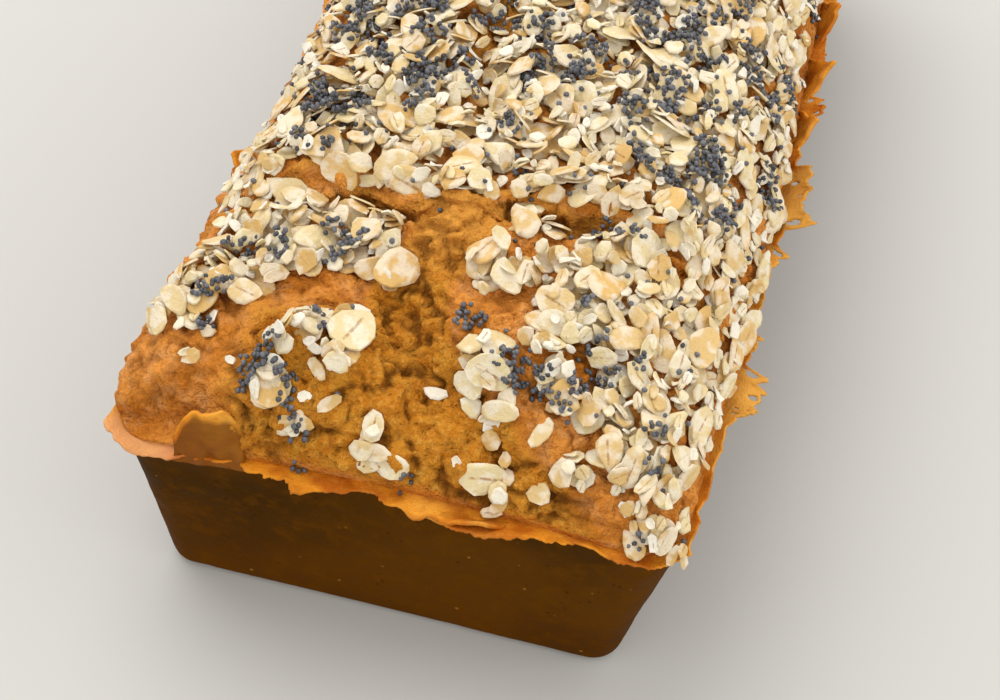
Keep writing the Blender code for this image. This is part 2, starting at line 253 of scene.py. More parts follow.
# Cross split: points of its line, and its depth across the loaf
CROSS_X = (-57.0, -46.0, -35.0, -20.0, -9.0, 0.0, 9.0, 18.0, 28.0, 38.0, 57.0)
CROSS_Y = (-70.0, -66.0, -60.0, -59.5, -62.0, -62.5, -57.0, -54.0, -54.5, -58.0, -66.0)
CROSS_DEPTH = (0.8, 1.4, 3.6, 4.4, 5.0, 5.5, 6.0, 5.5, 4.0, 2.0, 0.8)
CROSS_WALL = 2.6
CROSS_RAMP = 7.0

# Mound of torn crumb where the two splits meet: centre x and y, half sizes across and along, and rise
MOUND = (0.5, -65.5, 9.5, 6.5, 4.0)

# Split along the middle: points of its line, its half width and its depth
LONG_Y = (
    -117.0, -108.0, -100.0, -92.0, -84.0, -76.0, -68.0, -58.0, -46.0, -36.0, -20.0, 0.0, 30.0, 60.0, 80.0,
)
LONG_X = (16.0, 13.0, 5.0, -2.0, -4.0, -3.0, 1.0, 2.0, -1.0, -2.0, -6.0, -6.0, -3.0, -5.0, -4.0)
LONG_HALF = (26.0, 22.0, 13.0, 9.0, 7.5, 7.0, 9.0, 5.0, 3.0, 3.4, 3.2, 2.8, 3.0, 2.6, 2.0)
LONG_DEPTH = (2.2, 3.2, 4.2, 4.6, 4.6, 4.2, 3.0, 1.5, 1.2, 3.4, 4.2, 3.8, 4.0, 3.0, 0.5)

# Crust flaps standing at the rim: centre x and y, width, height, turn about Z, outward lean, and how blunt
FLAPS = (
    (-34.4, -114.6, 14.0, 12.0, 6.0, -15.0, 1.0),
    (15.0, -113.6, 17.0, 5.0, 0.0, 52.0, 0.9),
    (57.4, 18.0, 14.0, 10.5, 90.0, 32.0, 0.0),
    (57.0, 37.0, 17.0, 10.0, 92.0, 34.0, 0.1),
    (57.6, 1.0, 13.0, 8.5, 88.0, 34.0, 0.2),
    (-50.6, -41.0, 13.0, 6.5, -88.0, 56.0, 0.3),
    (-50.0, 12.0, 9.0, 6.0, -90.0, 28.0, 0.0),
    (-51.6, 64.0, 12.0, 7.5, -92.0, 24.0, 0.2),
    (22.0, 111.6, 14.0, 7.0, 176.0, 20.0, 0.4),
)

# Reach of the lip along the front rim, at places across it
LIP_X = (-57.0, -38.0, -30.0, -24.0, -14.0, -8.0, -3.0, 4.0, 14.0, 24.0, 32.0, 42.0, 57.0)
LIP_REACH = (4.0, 3.4, 2.8, 5.0, 6.2, 3.4, 3.2, 6.6, 7.2, 6.8, 4.6, 3.8, 4.4)

# Reach of the thin crust along the right rim, at places along it
FAN_Y = (
    -120.0, -90.0, -83.0, -79.0, -74.0, -70.0, -66.8, -66.0, -64.5, -61.0, -58.2, -57.4, -47.0, -39.0,
    -35.0, -33.2, -32.2, -28.8, -28.0, -22.0, -16.0, -12.0, -11.0, -9.5, -8.0, -5.0, 2.0, 4.0, 11.0, 13.0,
    20.0, 27.0, 29.0, 48.0, 50.0, 62.0, 70.0, 82.0, 84.0, 120.0,
)
FAN_REACH = (
    3.0, 3.2, 3.4, 6.4, 9.0, 8.4, 8.0, 3.2, 3.6, 4.6, 5.6, 3.4, 3.0, 3.2,
    4.6, 6.0, 3.2, 4.0, 9.6, 7.2, 9.2, 8.0, 4.0, 3.6, 5.0, 3.6, 3.4, 5.4, 6.4, 3.4,
    4.4, 4.6, 3.2, 4.6, 3.2, 3.2, 7.4, 6.0, 3.2, 3.0,
)

# Where oats lie in front of the cross split: x, y and radius
OAT_PATCHES = (
    (-49.0, -92.0, 8.0), (-42.0, -85.0, 8.0), (-34.0, -79.0, 9.0), (-26.0, -76.0, 8.0),
    (-17.0, -74.0, 7.0), (-9.0, -77.0, 4.5), (-24.0, -99.0, 3.5), (-25.0, -106.0, 3.0),
    (-22.0, -95.0, 3.0), (-13.0, -92.0, 4.5), (-15.0, -99.0, 4.0), (-26.0, -111.0, 2.5),
    (-19.0, -111.0, 2.5), (-42.0, -102.0, 2.0), (-40.0, -70.0, 7.0), (-30.0, -68.0, 6.0),
    (-22.0, -68.0, 6.0), (-14.0, -67.5, 4.5), (14.0, -60.0, 4.5), (10.0, -73.0, 5.0), (19.0, -72.0, 6.0),
    (28.0, -68.0, 8.0), (36.0, -62.0, 8.0), (42.0, -68.0, 8.0), (12.0, -59.0, 3.5), (24.0, -75.0, 5.0),
    (44.0, -54.0, 8.0), (12.0, -95.0, 5.5), (17.0, -101.0, 3.5), (23.0, -86.0, 4.5), (29.0, -80.0, 5.0),
    (36.0, -83.0, 6.0), (41.0, -77.0, 7.0), (26.0, -92.0, 3.0), (36.0, -96.0, 4.5), (28.0, -96.0, 3.5),
    (42.0, -103.0, 5.0), (48.0, -111.0, 6.0), (54.0, -113.0, 4.5), (46.0, -91.0, 7.0), (48.0, -98.0, 7.0),
    (38.0, -88.0, 5.0), (31.0, -74.0, 6.0), (12.0, -108.0, 2.5), (20.0, -110.0, 3.5), (-4.0, -110.0, 4.0),
    (33.0, -106.0, 3.0), (50.0, -72.0, 10.0), (53.0, -84.0, 9.0), (55.0, -95.0, 7.0), (54.0, -64.0, 9.0),
    (50.0, -55.0, 9.0), (52.0, -104.0, 6.0), (-51.0, -60.0, 8.0), (57.0, -75.0, 6.0), (57.0, -88.0, 6.0),
    (56.0, -100.0, 5.0), (57.0, -64.0, 6.0), (-48.0, -42.0, 7.0),
)

# Large flakes that lie on top at the front: x, y, length and turn about Z in degrees
LARGE_FLAKES = (
    (-12.5, -93.0, 9.6, 70.0), (-15.0, -99.5, 8.0, 20.0), (-8.5, -78.0, 9.4, 30.0),
    (-16.0, -72.0, 8.0, -30.0), (7.0, -73.5, 9.0, 25.0), (12.0, -94.5, 9.8, 50.0),
    (17.5, -101.0, 7.0, 10.0), (24.0, -85.0, 9.0, -40.0), (29.0, -82.0, 8.6, 35.0),
    (42.0, -105.5, 9.0, 0.0), (48.0, -111.5, 8.6, 60.0), (55.5, -97.0, 9.2, 75.0),
    (51.5, -105.0, 9.0, 80.0), (8.0, -28.0, 9.8, 0.0), (2.0, -13.0, 9.6, 20.0), (-6.5, -57.0, 8.6, 85.0),
    (32.0, -28.0, 9.8, 80.0), (12.0, -46.0, 9.0, 10.0), (-47.0, -57.0, 9.6, 5.0),
    (-44.0, -86.0, 9.0, 40.0), (40.0, -74.0, 9.0, 70.0), (47.0, -84.0, 8.4, 85.0),
    (-47.0, -42.0, 9.4, 10.0), (-45.5, -36.0, 8.0, 60.0), (-52.0, -97.0, 8.0, 50.0),
)

# Heaps of poppy seeds: x, y and number of seeds
SEED_HEAPS = (
    (-40.0, -97.0, 9), (-41.0, -91.0, 17), (-38.0, -80.0, 15), (-18.5, -76.5, 24), (-22.0, -73.0, 12),
    (-28.5, -105.0, 26), (-26.5, -101.5, 16), (-22.0, -104.5, 12), (-20.0, -109.0, 11),
    (-17.5, -111.5, 10), (-19.0, -93.0, 9), (8.0, -86.0, 15), (6.0, -84.5, 6), (18.0, -95.0, 26),
    (23.5, -94.5, 18), (30.0, -93.0, 15), (28.0, -97.5, 9), (34.0, -89.0, 13), (31.0, -84.5, 8),
    (26.0, -58.5, 15), (32.0, -60.0, 10), (40.0, -85.0, 8), (46.0, -97.0, 9), (3.0, -112.0, 5),
    (19.0, -91.0, 8), (28.0, -77.5, 6), (-31.0, -79.0, 14), (47.0, -104.0, 7), (47.0, -114.0, 4),
    (49.0, -47.0, 15), (42.0, -48.0, 13), (-35.0, -55.0, 8), (-29.0, -56.0, 9), (-31.0, -46.0, 16),
    (43.0, -38.0, 22), (26.0, -30.0, 26), (-13.0, -31.0, 22), (-36.0, -12.0, 24), (15.0, -17.0, 26),
    (33.0, -1.0, 32), (-6.0, -2.0, 24), (-18.0, -22.0, 28), (6.0, -23.0, 18), (-6.0, -34.0, 13),
    (30.0, -41.0, 24), (-27.0, -29.0, 26), (32.0, -20.0, 24),
)


# Fineness of the meshes: grid lines of the dome and points round the side and the thin crust
TOP_ACROSS = 232
TOP_ALONG = 372
SIDE_ACROSS = 130
SIDE_ALONG = 250
SIDE_RINGS = 46
EDGE_RINGS = 9
FILM_ROWS = 13
FILM_ACROSS = 340
FILM_ALONG = 760
FLAP_COLUMNS = 34
FLAP_ROWS = 18

# Toppings: layers laid in turn, and the number of different shapes of each kind
LAYERS = 3
WHOLE_SHAPES = 10
BROKEN_SHAPES = 12
BIT_SHAPES = 8
SEED_SHAPES = 3
# Kinds of flake: share of a whole flake's length, spread of the lengths, width over length, thickness in
# millimetres, number of shapes, and lean in radians
WHOLE_FLAKE = (1.0, 0.22, (0.62, 0.9), 0.52, WHOLE_SHAPES, 0.22)
BROKEN_FLAKE = (0.68, 0.30, (0.55, 0.95), 0.50, BROKEN_SHAPES, 0.34)
FLOURY_BIT = (0.42, 0.35, (0.5, 0.95), 0.56, BIT_SHAPES, 0.45)
LARGE_THICKNESS = 0.58
LARGE_LEAN = 0.12
# Places tried at a time, and how far toppings may go past the wall on the right, in millimetres
TRIALS = 4000
SPILL = 1.2
# The turn from one seed of a heap to the next, in radians
GOLDEN_ANGLE = 2.39996


class LoafForm:
    """The loaf's shape as functions of place, in millimetres."""

    def __init__(self, sizes):
        self.width = sizes.rim_width / MM
        self.length = sizes.rim_length / MM
        self.rim = sizes.rim_height / MM
        self.shoulder_rise = sizes.shoulder_rise / MM
        self.crown_rise = sizes.crown_rise / MM
        self.film_length = sizes.film_length / MM
        self.film_thickness = sizes.film_thickness / MM

    def plan_point(self, s, t, half_x, half_y, radius):
        """Points of the unit square laid on a rectangle with rounded corners."""
        scale = np.maximum(np.abs(s), np.abs(t))
        x, y = np.abs(s) * half_x, np.abs(t) * half_y
        inner_x, inner_y = (half_x - radius) * scale, (half_y - radius) * scale
        in_corner = (x > inner_x) & (y > inner_y)
        angle = np.arctan2(y - inner_y, x - inner_x)
        x = np.where(in_corner, inner_x + radius * scale * np.cos(angle), x)
        y = np.where(in_corner, inner_y + radius * scale * np.sin(angle), y)
        return np.sign(s) * x, np.sign(t) * y

    def side_shift(self, x, y):
        """Shift across of a side at mid-length: the right side swells out, the left one is drawn in."""
        along = np.clip(y * 2.0 / self.length, -1.0, 1.0)
        drawn = np.clip(1.0 - ((y - DRAW_MIDDLE) / DRAW_REACH) ** 2, 0.0, 1.0)
        return np.where(x > 0.0, SIDE_SWELL * (1.0 - along**2), SIDE_DRAW * drawn)

    def half_across(self, x, y):
        """Half width of the dome's foot on the side of a point."""
        return self.width / 2 - WALL_INSET_SIDE + np.sign(x) * self.side_shift(x, y)

    def bow(self, x, y, height):
        """The ends drawn in at mid-width and the sides shifted at mid-length, less so towards the base."""
        level = np.clip(height / self.rim, 0.0, 1.0)
        across = np.clip(x * 2.0 / self.width, -1.0, 1.0)
        along = np.clip(y * 2.0 / self.length, -1.0, 1.0)
        share = np.where(x > 0.0, level, 0.55 + 0.45 * level)
        new_x = x + np.abs(across) * self.side_shift(x, y) * share + BASE_SHIFT * (1.0 - level)
        new_y = y - END_HOLLOW * along**3 * (1.0 - across**2) * level
        return new_x, new_y

    def ring(self, s, t, inset_side, inset_end, height):
        """Points round the loaf at an inset from the rim's outer size."""
        half_x, half_y = self.width / 2 - inset_side, self.length / 2 - inset_end
        level = np.clip(height / self.rim, 0.0, 1.0)
        x, y = self.plan_point(s, t, half_x, half_y, BASE_CORNER + (RIM_CORNER - BASE_CORNER) * level)
        x, y = self.bow(x, y, height)
        return np.stack([x, y, np.broadcast_to(height, x.shape)], axis=-1)

    def wall_insets(self, height):
        """Insets of the tapered side wall from the rim's outer size, at a height."""
        down = 1.0 - height / self.rim
        side = WALL_INSET_SIDE + (BASE_INSET_SIDE - WALL_INSET_SIDE) * down
        end = WALL_INSET_END + (BASE_INSET_END - WALL_INSET_END) * down
        return side, end

    def edge_gap(self, x, y):
        """Gaps to the side and to the end of the dome, and a smooth distance to its edge."""
        half_x, half_y = self.half_across(x, y), self.length / 2 - WALL_INSET_END
        shelf = CORNER_SHELF * ease_between(-x, 27.0, 40.0) * (y < 0.0)
        inner_y = half_y - END_HOLLOW * (1.0 - np.clip(x / half_x, -1.0, 1.0) ** 2) - shelf
        gap_x, gap_y = np.maximum(half_x - np.abs(x), 0.0), np.maximum(inner_y - np.abs(y), 0.0)
        return gap_x, gap_y, gap_x * gap_y / np.sqrt(gap_x**2 + gap_y**2 + 1e-6)

    def split_depth(self, x, y):
        """How far the torn splits go below the crust."""
        behind = y - np.interp(x, CROSS_X, CROSS_Y) - 1.6 * smooth_noise(x, 0.0, 0.0, 7.0, 21)
        wall = ease_between(behind, 0.0, -CROSS_WALL) * (1.0 - ease_between(-behind, CROSS_WALL, CROSS_RAMP))
        cross = np.interp(x, CROSS_X, CROSS_DEPTH) * wall * 1.25
        middle = np.interp(y, LONG_Y, LONG_X) + 1.8 * smooth_noise(0.0, y, 0.0, 9.0, 22)
        half = np.interp(y, LONG_Y, LONG_HALF)
        side = 1.0 - ease_between(np.abs(x - middle), half * 0.3, half * 1.45)
        along = np.interp(y, LONG_Y, LONG_DEPTH) * side
        rough = 1.0 + 0.35 * smooth_noise(x, y, 5.0, 6.0, 23)
        return np.maximum(cross, along) * rough

    def dome_height(self, x, y):
        """Height of the top crust over the floor at a point inside the rim."""
        half_x, half_y = self.half_across(x, y), self.length / 2 - WALL_INSET_END
        gap_x, gap_y, edge = self.edge_gap(x, y)
        side = np.where(x < 0.0, SHOULDER_LEFT, SHOULDER_RIGHT)
        end = np.where(y < 0.0, np.interp(x, SHOULDER_FRONT_X, SHOULDER_FRONT), SHOULDER_BACK)
        part_x, part_y = gap_x / side, gap_y / end
        part = part_x * part_y / np.sqrt(part_x**2 + part_y**2 + 1e-6)
        shoulder = (1.0 - (1.0 - np.clip(part, 0.0, 1.0)) ** 2.3) ** 0.66
        across = 1.0 - np.clip(np.abs(x) / half_x, 0.0, 1.0) ** 2.2
        crown = across * (1.0 - np.clip(np.abs(y) / half_y, 0.0, 1.0) ** 4)
        rear = ease_between(y - np.interp(x, CROSS_X, CROSS_Y), -6.0, 0.0) * ease_between(edge, 0.0, 16.0)
        height = self.rim + 1.0 + self.shoulder_rise * shoulder + self.crown_rise * crown + REAR_STEP * rear
        lumps = smooth_noise(x, y, 0.0, LUMP_SIZE, 3) + 0.45 * smooth_noise(x, y, 9.0, LUMP_SIZE * 0.45, 4)
        height = height + LUMP_RISE * lumps * ease_between(edge, 0.0, 9.0)
        middle_x, middle_y, half_long, half_short, rise = MOUND
        mound = rise * np.exp(-(((x - middle_x) / half_long) ** 2) - ((y - middle_y) / half_short) ** 2)
        filled = 1.0 - 0.75 * mound / rise
        return height - self.split_depth(x, y) * filled * ease_between(edge, 0.5, 9.0) + mound

    def torn_share(self, x, y):
        """1 on torn crumb, 0 on whole crust, with an uneven border."""
        jitter = 0.5 * smooth_noise(x, y, 1.0, 3.2, 61) + 0.3 * smooth_noise(x, y, 2.0, 1.4, 62)
        _, _, edge = self.edge_gap(x, y)
        behind = y - np.interp(x, CROSS_X, CROSS_Y) + 2.0 * jitter
        lip = ease_between(behind, -1.0, 1.0) * (1.0 - ease_between(behind, 0.5, 2.5))
        lip = lip * ease_between(x, -37.0, -33.0) * (1.0 - ease_between(x, 26.0, 32.0))
        torn = ease_between(self.split_depth(x, y) + jitter, 0.7, 2.2)
        wobble = 3.0 * jitter
        front = ease_between(x + wobble, -37.0, -27.0) * (1.0 - ease_between(x + wobble, -6.0, 2.0))
        front = front * ease_between(-y + wobble, 84.0, 96.0)
        middle_x, middle_y, half_long, half_short, _ = MOUND
        away = ((x - middle_x) / half_long) ** 2 + ((y - middle_y) / half_short) ** 2
        mound = 1.0 - ease_between(away + 0.4 * jitter, 0.7, 1.3)
        return np.maximum.reduce([torn, lip, front, mound]) * ease_between(edge, -0.2, 0.3)

    def relief(self, x, y, z):
        """Fine relief along the surface normal, how torn the place is, and how much painted shade its hollows
        get.
        """
        torn = self.torn_share(x, y)
        warp = 0.9 * smooth_noise(x, y, z, 2.3, 71) + 1.2 * smooth_noise(x, y, z, 5.1, 70)
        slant = 0.9 * smooth_noise(x, y, z, 3.7, 69)
        wx, wy, wz = x + 0.5 * y + warp, y - 0.4 * x - warp + slant, z + 0.6 * warp
        crust = 0.60 * smooth_noise(x, y, z, 6.5, 72) + 0.55 * smooth_noise(wx, wy, wz, 3.0, 73)
        crust = crust + 0.42 * smooth_noise(wx, wy, wz, 1.5, 74) + 0.52 * puffs(wx, wy, wz, 3.4, 77)
        crust = crust + 0.30 * puffs(wx, wy, wz, 1.7, 79) - 0.35 * bubbles(wx, wy, wz, 2.6, 0.22, 78)
        cracks = 1.0 - np.abs(smooth_noise(wx, wy, wz, 7.5, 75)) * 8.0
        cracked = ease_between(smooth_noise(x, y, 3.0, 12.0, 76), -0.3, 0.3)
        crust = crust - 0.9 * np.clip(cracks, 0.0, 1.0) * cracked
        crumb = 1.10 * smooth_noise(wx, wy, wz, 6.4, 81) + 1.15 * puffs(wx, wy, wz, 5.4, 82)
        crumb = crumb + 0.75 * puffs(wx, wy, wz, 2.6, 83) + 0.30 * puffs(wx, wy, wz, 1.3, 85)
        crumb = crumb - 0.9 * bubbles(wx, wy, wz, 3.6, 0.35, 84)
        crumb = crumb - 0.5 * bubbles(wx, wy, wz, 1.9, 0.4, 86) + 0.3
        lip = 4.0 * torn * (1.0 - torn)
        whole = 1.0 - torn
        # Painted shade: low places of the crumb and the crust get a share that darkens their colour
        hollow = np.clip(0.48 - 0.44 * crumb, 0.0, 1.0) * torn
        hollow = hollow + np.clip(0.36 - 0.45 * crust, 0.0, 1.0) * whole
        return crust * whole + crumb * torn + 0.35 * lip, torn, hollow


# Meshes


def new_piece(name, points, faces, smooth=True):
    """A mesh object from points in millimetres, shifted so that the loaf's box is centred."""
    mesh = bpy.data.meshes.new(name)
    points = (np.asarray(points, float) + SHIFT) * MM
    mesh.from_pydata(points.tolist(), [], faces)
    mesh.update()
    if smooth:
        mesh.shade_smooth()
    piece = bpy.data.objects.new(name, mesh)
    bpy.context.scene.collection.objects.link(piece)
    return piece


def store(piece, name, values, kind="FLOAT"):
    """Keeps one value for each vertex under a name that the materials read."""
    attribute = piece.data.attributes.new(name, kind, "POINT")
    key = "vector" if kind == "FLOAT_VECTOR" else "value"
    attribute.data.foreach_set(key, np.ascontiguousarray(values, dtype=float).ravel())


def applied(piece):
    """The piece with its modifiers turned into plain mesh."""
    depsgraph = bpy.context.evaluated_depsgraph_get()
    depsgraph.update()
    mesh = bpy.data.meshes.new_from_object(piece.evaluated_get(depsgraph))
    piece.modifiers.clear()
    old = piece.data
    piece.data = mesh
    bpy.data.meshes.remove(old)
    mesh.name = piece.name
    return piece


def finish_piece(piece, material):
    """Gives the piece its material and its place in the model."""
    piece.data.materials.clear()
    piece.data.materials.append(material)
    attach(piece, BODY)
    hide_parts(NODE)


def square_border(count_s, count_t):
    """Grid indices round the border of a grid, once round without repeats."""
    border = [(i, 0) for i in range(count_s - 1)]
    border += [(count_s - 1, j) for j in range(count_t - 1)]
    border += [(i, count_t - 1) for i in range(count_s - 1, 0, -1)]
    border += [(0, j) for j in range(count_t - 1, 0, -1)]
    return np.array(border)


def band_faces(first, second):
    """Quads between two closed rings of the same number of points."""
    after_first, after_second = np.roll(first, -1), np.roll(second, -1)
    return np.stack([first, second, after_second, after_first], axis=-1).tolist()


def spaced_lines(weights_at, count):
    """Values from -1 to 1, closer together where the weight is larger."""
    fine = np.linspace(-1.0, 1.0, 4001)
    total = np.concatenate([[0.0], np.cumsum(weights_at(fine[:-1]))])
    return np.interp(np.linspace(0.0, total[-1], count), total, fine)


# Shader graphs


class Wire:
    """One socket of a shader graph, so that sums and products can be written as expressions."""

    def __init__(self, graph, socket):
        self.graph = graph
        self.socket = socket

    def math(self, operation, first, second):
        node = self.graph.add("ShaderNodeMath", {"operation": operation}, {0: first, 1: second})
        return Wire(self.graph, node.outputs[0])

    def __add__(self, other):
        return self.math("ADD", self, other)

    def __radd__(self, other):
        return self.math("ADD", other, self)

    def __sub__(self, other):
        return self.math("SUBTRACT", self, other)

    def __rsub__(self, other):
        return self.math("SUBTRACT", other, self)

    def __mul__(self, other):
        return self.math("MULTIPLY", self, other)

    def __rmul__(self, other):
        return self.math("MULTIPLY", other, self)


class Graph:
    """The node tree of one material."""

    def __init__(self, name):
        self.material = bpy.data.materials.new(name)
        self.material.use_nodes = True
        self.tree = self.material.node_tree
        self.tree.nodes.clear()

    def add(self, kind, settings=None, sockets=None):
        """A node of a kind, with its settings made first and then the values or links of its sockets."""
        node = self.tree.nodes.new(kind)
        for name, value in (settings or {}).items():
            setattr(node, name, value)
        for name, value in (sockets or {}).items():
            if isinstance(value, Wire):
                self.tree.links.new(value.socket, node.inputs[name])
            else:
                node.inputs[name].default_value = value
        return node

    def place(self):
        """The place on the piece, in metres."""
        return Wire(self, self.add("ShaderNodeTexCoord").outputs["Object"])

    def attribute(self, name):
        """A value kept on the mesh."""
        return Wire(self, self.add("ShaderNodeAttribute", {"attribute_name": name}).outputs["Fac"])

    def noise(self, size, detail=2.0, roughness=0.5, offset=0.0):
        """Noise from 0 to 1 with lumps of a size in metres."""
        place = self.place()
        if offset:
            moved = self.add(
                "ShaderNodeVectorMath", {"operation": "ADD"}, {0: place, 1: (offset, offset * 0.7, -offset)}
            )
            place = Wire(self, moved.outputs[0])
        sockets = {"Vector": place, "Scale": 1.0 / size, "Detail": detail, "Roughness": roughness}
        node = self.add("ShaderNodeTexNoise", {"normalize": True}, sockets)
        return Wire(self, node.outputs[0])

    def cells(self, size):
        """Distance to the nearest of scattered points, for a cell size in metres."""
        sockets = {"Vector": self.place(), "Scale": 1.0 / size}
        node = self.add("ShaderNodeTexVoronoi", {"feature": "F1"}, sockets)
        return Wire(self, node.outputs["Distance"])

    def between(self, value, low, high, to_low=0.0, to_high=1.0):
        """The value mapped smoothly from one range to another."""
        node = self.add(
            "ShaderNodeMapRange",
            {"interpolation_type": "SMOOTHSTEP"},
            {"Value": value, "From Min": low, "From Max": high, "To Min": to_low, "To Max": to_high},
        )
        return Wire(self, node.outputs["Result"])

    def mix(self, share, first, second, blend="MIX"):
        """Two colours mixed by a share."""
        node = self.add("ShaderNodeMix", {"data_type": "RGBA", "blend_type": blend, "clamp_factor": True})
        for index, value in ((0, share), (6, first), (7, second)):
            if isinstance(value, Wire):
                self.tree.links.new(value.socket, node.inputs[index])
            else:
                node.inputs[index].default_value = value if index == 0 else (*value, 1.0)
        return Wire(self, node.outputs[2])

    def bump(self, height, strength, distance):
        """A normal bent by a height."""
        sockets = {"Height": height, "Strength": strength, "Distance": distance}
        node = self.add("ShaderNodeBump", None, sockets)
        return Wire(self, node.outputs[0])

    def surface(self, colour, roughness, normal=None, specular=0.4):
        """The finished shader."""
        sockets = {"Base Color": colour, "Roughness": roughness, "Specular IOR Level": specular}
        if normal:
            sockets["Normal"] = normal
        shader = self.add("ShaderNodeBsdfPrincipled", None, sockets)
        output = self.add("ShaderNodeOutputMaterial")
        self.tree.links.new(shader.outputs[0], output.inputs["Surface"])
        return self.material


def scaled(colour, factor):
    """A colour made lighter or darker."""
    return tuple(min(channel * factor, 1.0) for channel in colour)


def top_material(colours):
    """Baked crust on whole places and golden crumb on torn ones, with painted shade darkening their hollows
    and pores, and painted light on the crumb from the cross split back.
    """
    graph = Graph("top_crust")
    torn, hollow, warm = graph.attribute("torn"), graph.attribute("hollow"), graph.attribute("warm")
    broad, middle, fine = graph.noise(0.014, 2.0), graph.noise(0.0045, 3.0, 0.6), graph.noise(0.0012, 2.0)
    crust = graph.mix(graph.between(broad, 0.36, 0.66), colours.crust, colours.crust_deep)
    crust = graph.mix(graph.between(middle, 0.46, 0.70) * 0.55, crust, paint(240, 176, 112))
    crust = graph.mix(graph.between(fine, 0.48, 0.70) * 0.45, crust, paint(160, 90, 20))
    # Painted shade: crust hollows and cracks darkened towards brown
    crust = graph.mix(graph.between(hollow, 0.3, 0.95) * 0.85, crust, paint(132, 72, 10))
    crumb = graph.mix(graph.between(middle, 0.35, 0.65), colours.crumb, paint(206, 128, 26))
    crumb = graph.mix(graph.between(fine, 0.48, 0.72) * 0.38, crumb, paint(242, 186, 86))
    # Painted light: crumb from the cross split back made lighter and more orange
    crumb = graph.mix(warm * 0.75, crumb, paint(240, 166, 70))
    # Painted shade: crumb hollows darkened, less so where the painted light lies
    crumb = graph.mix(graph.between(hollow, 0.25, 0.95) * (0.9 - warm * 0.5), crumb, colours.crumb_hollow_shade)
    colour = graph.mix(torn, crust, crumb)
    # Small pores: a dent in the bump, and painted shade darkening them inside
    pores = graph.between(graph.cells(0.0013), 0.12, 0.42, 1.0, 0.0)
    pores = pores * graph.between(graph.noise(0.0027, 2.0, offset=0.3), 0.42, 0.62) * (torn * 0.6 + 0.4)
    colour = graph.mix(pores * 0.22, colour, paint(150, 88, 16))
    grain = graph.noise(0.0007, 3.0, 0.65)
    height = grain * 1.2 + graph.noise(0.0016, 3.0, 0.6) * 2.6 - pores * 0.8
    return graph.surface(
        colour, graph.between(grain, 0.3, 0.7, 0.6, 0.85), graph.bump(height, 0.95, 0.0009), specular=0.18
    )


def side_material(colours):
    """Smooth tin-baked crust, golden brown darkened further as painted shade, with pits darkened inside as
    painted shade, pale specks and mottling.
    """
    graph = Graph("side_crust")
    broad, mottle = graph.noise(0.030, 2.0), graph.noise(0.0042, 4.0, 0.62)
    # The side colours and the lower band's colour are darker than the crust's own brown: painted shade on the
    # sides
    colour = graph.mix(graph.between(broad, 0.35, 0.66), colours.side_deep, colours.side)
    colour = graph.mix(graph.between(mottle, 0.45, 0.68) * 0.4, colour, scaled(colours.side, 1.45))
    colour = graph.mix(graph.attribute("low") * 0.4, colour, paint(96, 52, 2))
    specks = graph.between(graph.cells(0.0042), 0.05, 0.11, 1.0, 0.0)
    specks = specks * graph.between(graph.noise(0.006, 1.0, offset=0.2), 0.5, 0.6)
    colour = graph.mix(specks * 0.5, colour, paint(196, 140, 60))
    # Painted shade: the small pits are darkened inside, and they also sink the bump
    pits = graph.between(graph.cells(0.0026), 0.08, 0.2, 1.0, 0.0)
    pits = pits * graph.between(graph.noise(0.005, 1.0, offset=0.5), 0.5, 0.62)
    colour = graph.mix(pits * 0.6, colour, paint(58, 32, 4))
    grain = graph.noise(0.0009, 3.0, 0.6)
    height = grain + graph.noise(0.0034, 2.0) * 2.0 - pits * 2.0
    return graph.surface(
        colour, graph.between(mottle, 0.35, 0.7, 0.55, 0.7), graph.bump(height, 0.45, 0.0004), specular=0.02
    )


def film_material(colours):
    """Thin golden crust at the rim, browner in patches, at its burnt tips and against the tin."""
    graph = Graph("rim_crust")
    reach, pale, baked = graph.attribute("reach"), graph.attribute("pale"), graph.attribute("baked")
    gold = graph.attribute("gold")
    broad, fine = graph.noise(0.008, 2.0), graph.noise(0.0013, 3.0, 0.6)
    colour = graph.mix(graph.between(broad, 0.40, 0.60), colours.film, paint(184, 98, 14))
    colour = graph.mix(graph.between(graph.noise(0.019, 1.0), 0.45, 0.62) * 0.6, colour, paint(234, 172, 70))
    colour = graph.mix(graph.between(fine, 0.5, 0.75) * 0.35, colour, paint(230, 158, 60))
    spots = graph.between(graph.noise(0.0034, 3.0, 0.6), 0.5, 0.66)
    colour = graph.mix(spots * 0.4, colour, paint(170, 90, 10))
    colour = graph.mix(graph.between(reach, 0.7, 1.0) * 0.35, colour, paint(160, 84, 18))
    colour = graph.mix(gold * 0.6, colour, paint(226, 170, 78))
    colour = graph.mix(pale, colour, paint(220, 156, 108))
    colour = graph.mix(baked, colour, paint(112, 64, 8))
    height = fine + graph.noise(0.0005, 2.0)
    return graph.surface(
        colour, graph.between(fine, 0.3, 0.7, 0.5, 0.75), graph.bump(height, 0.7, 0.0004), specular=0.15
    )


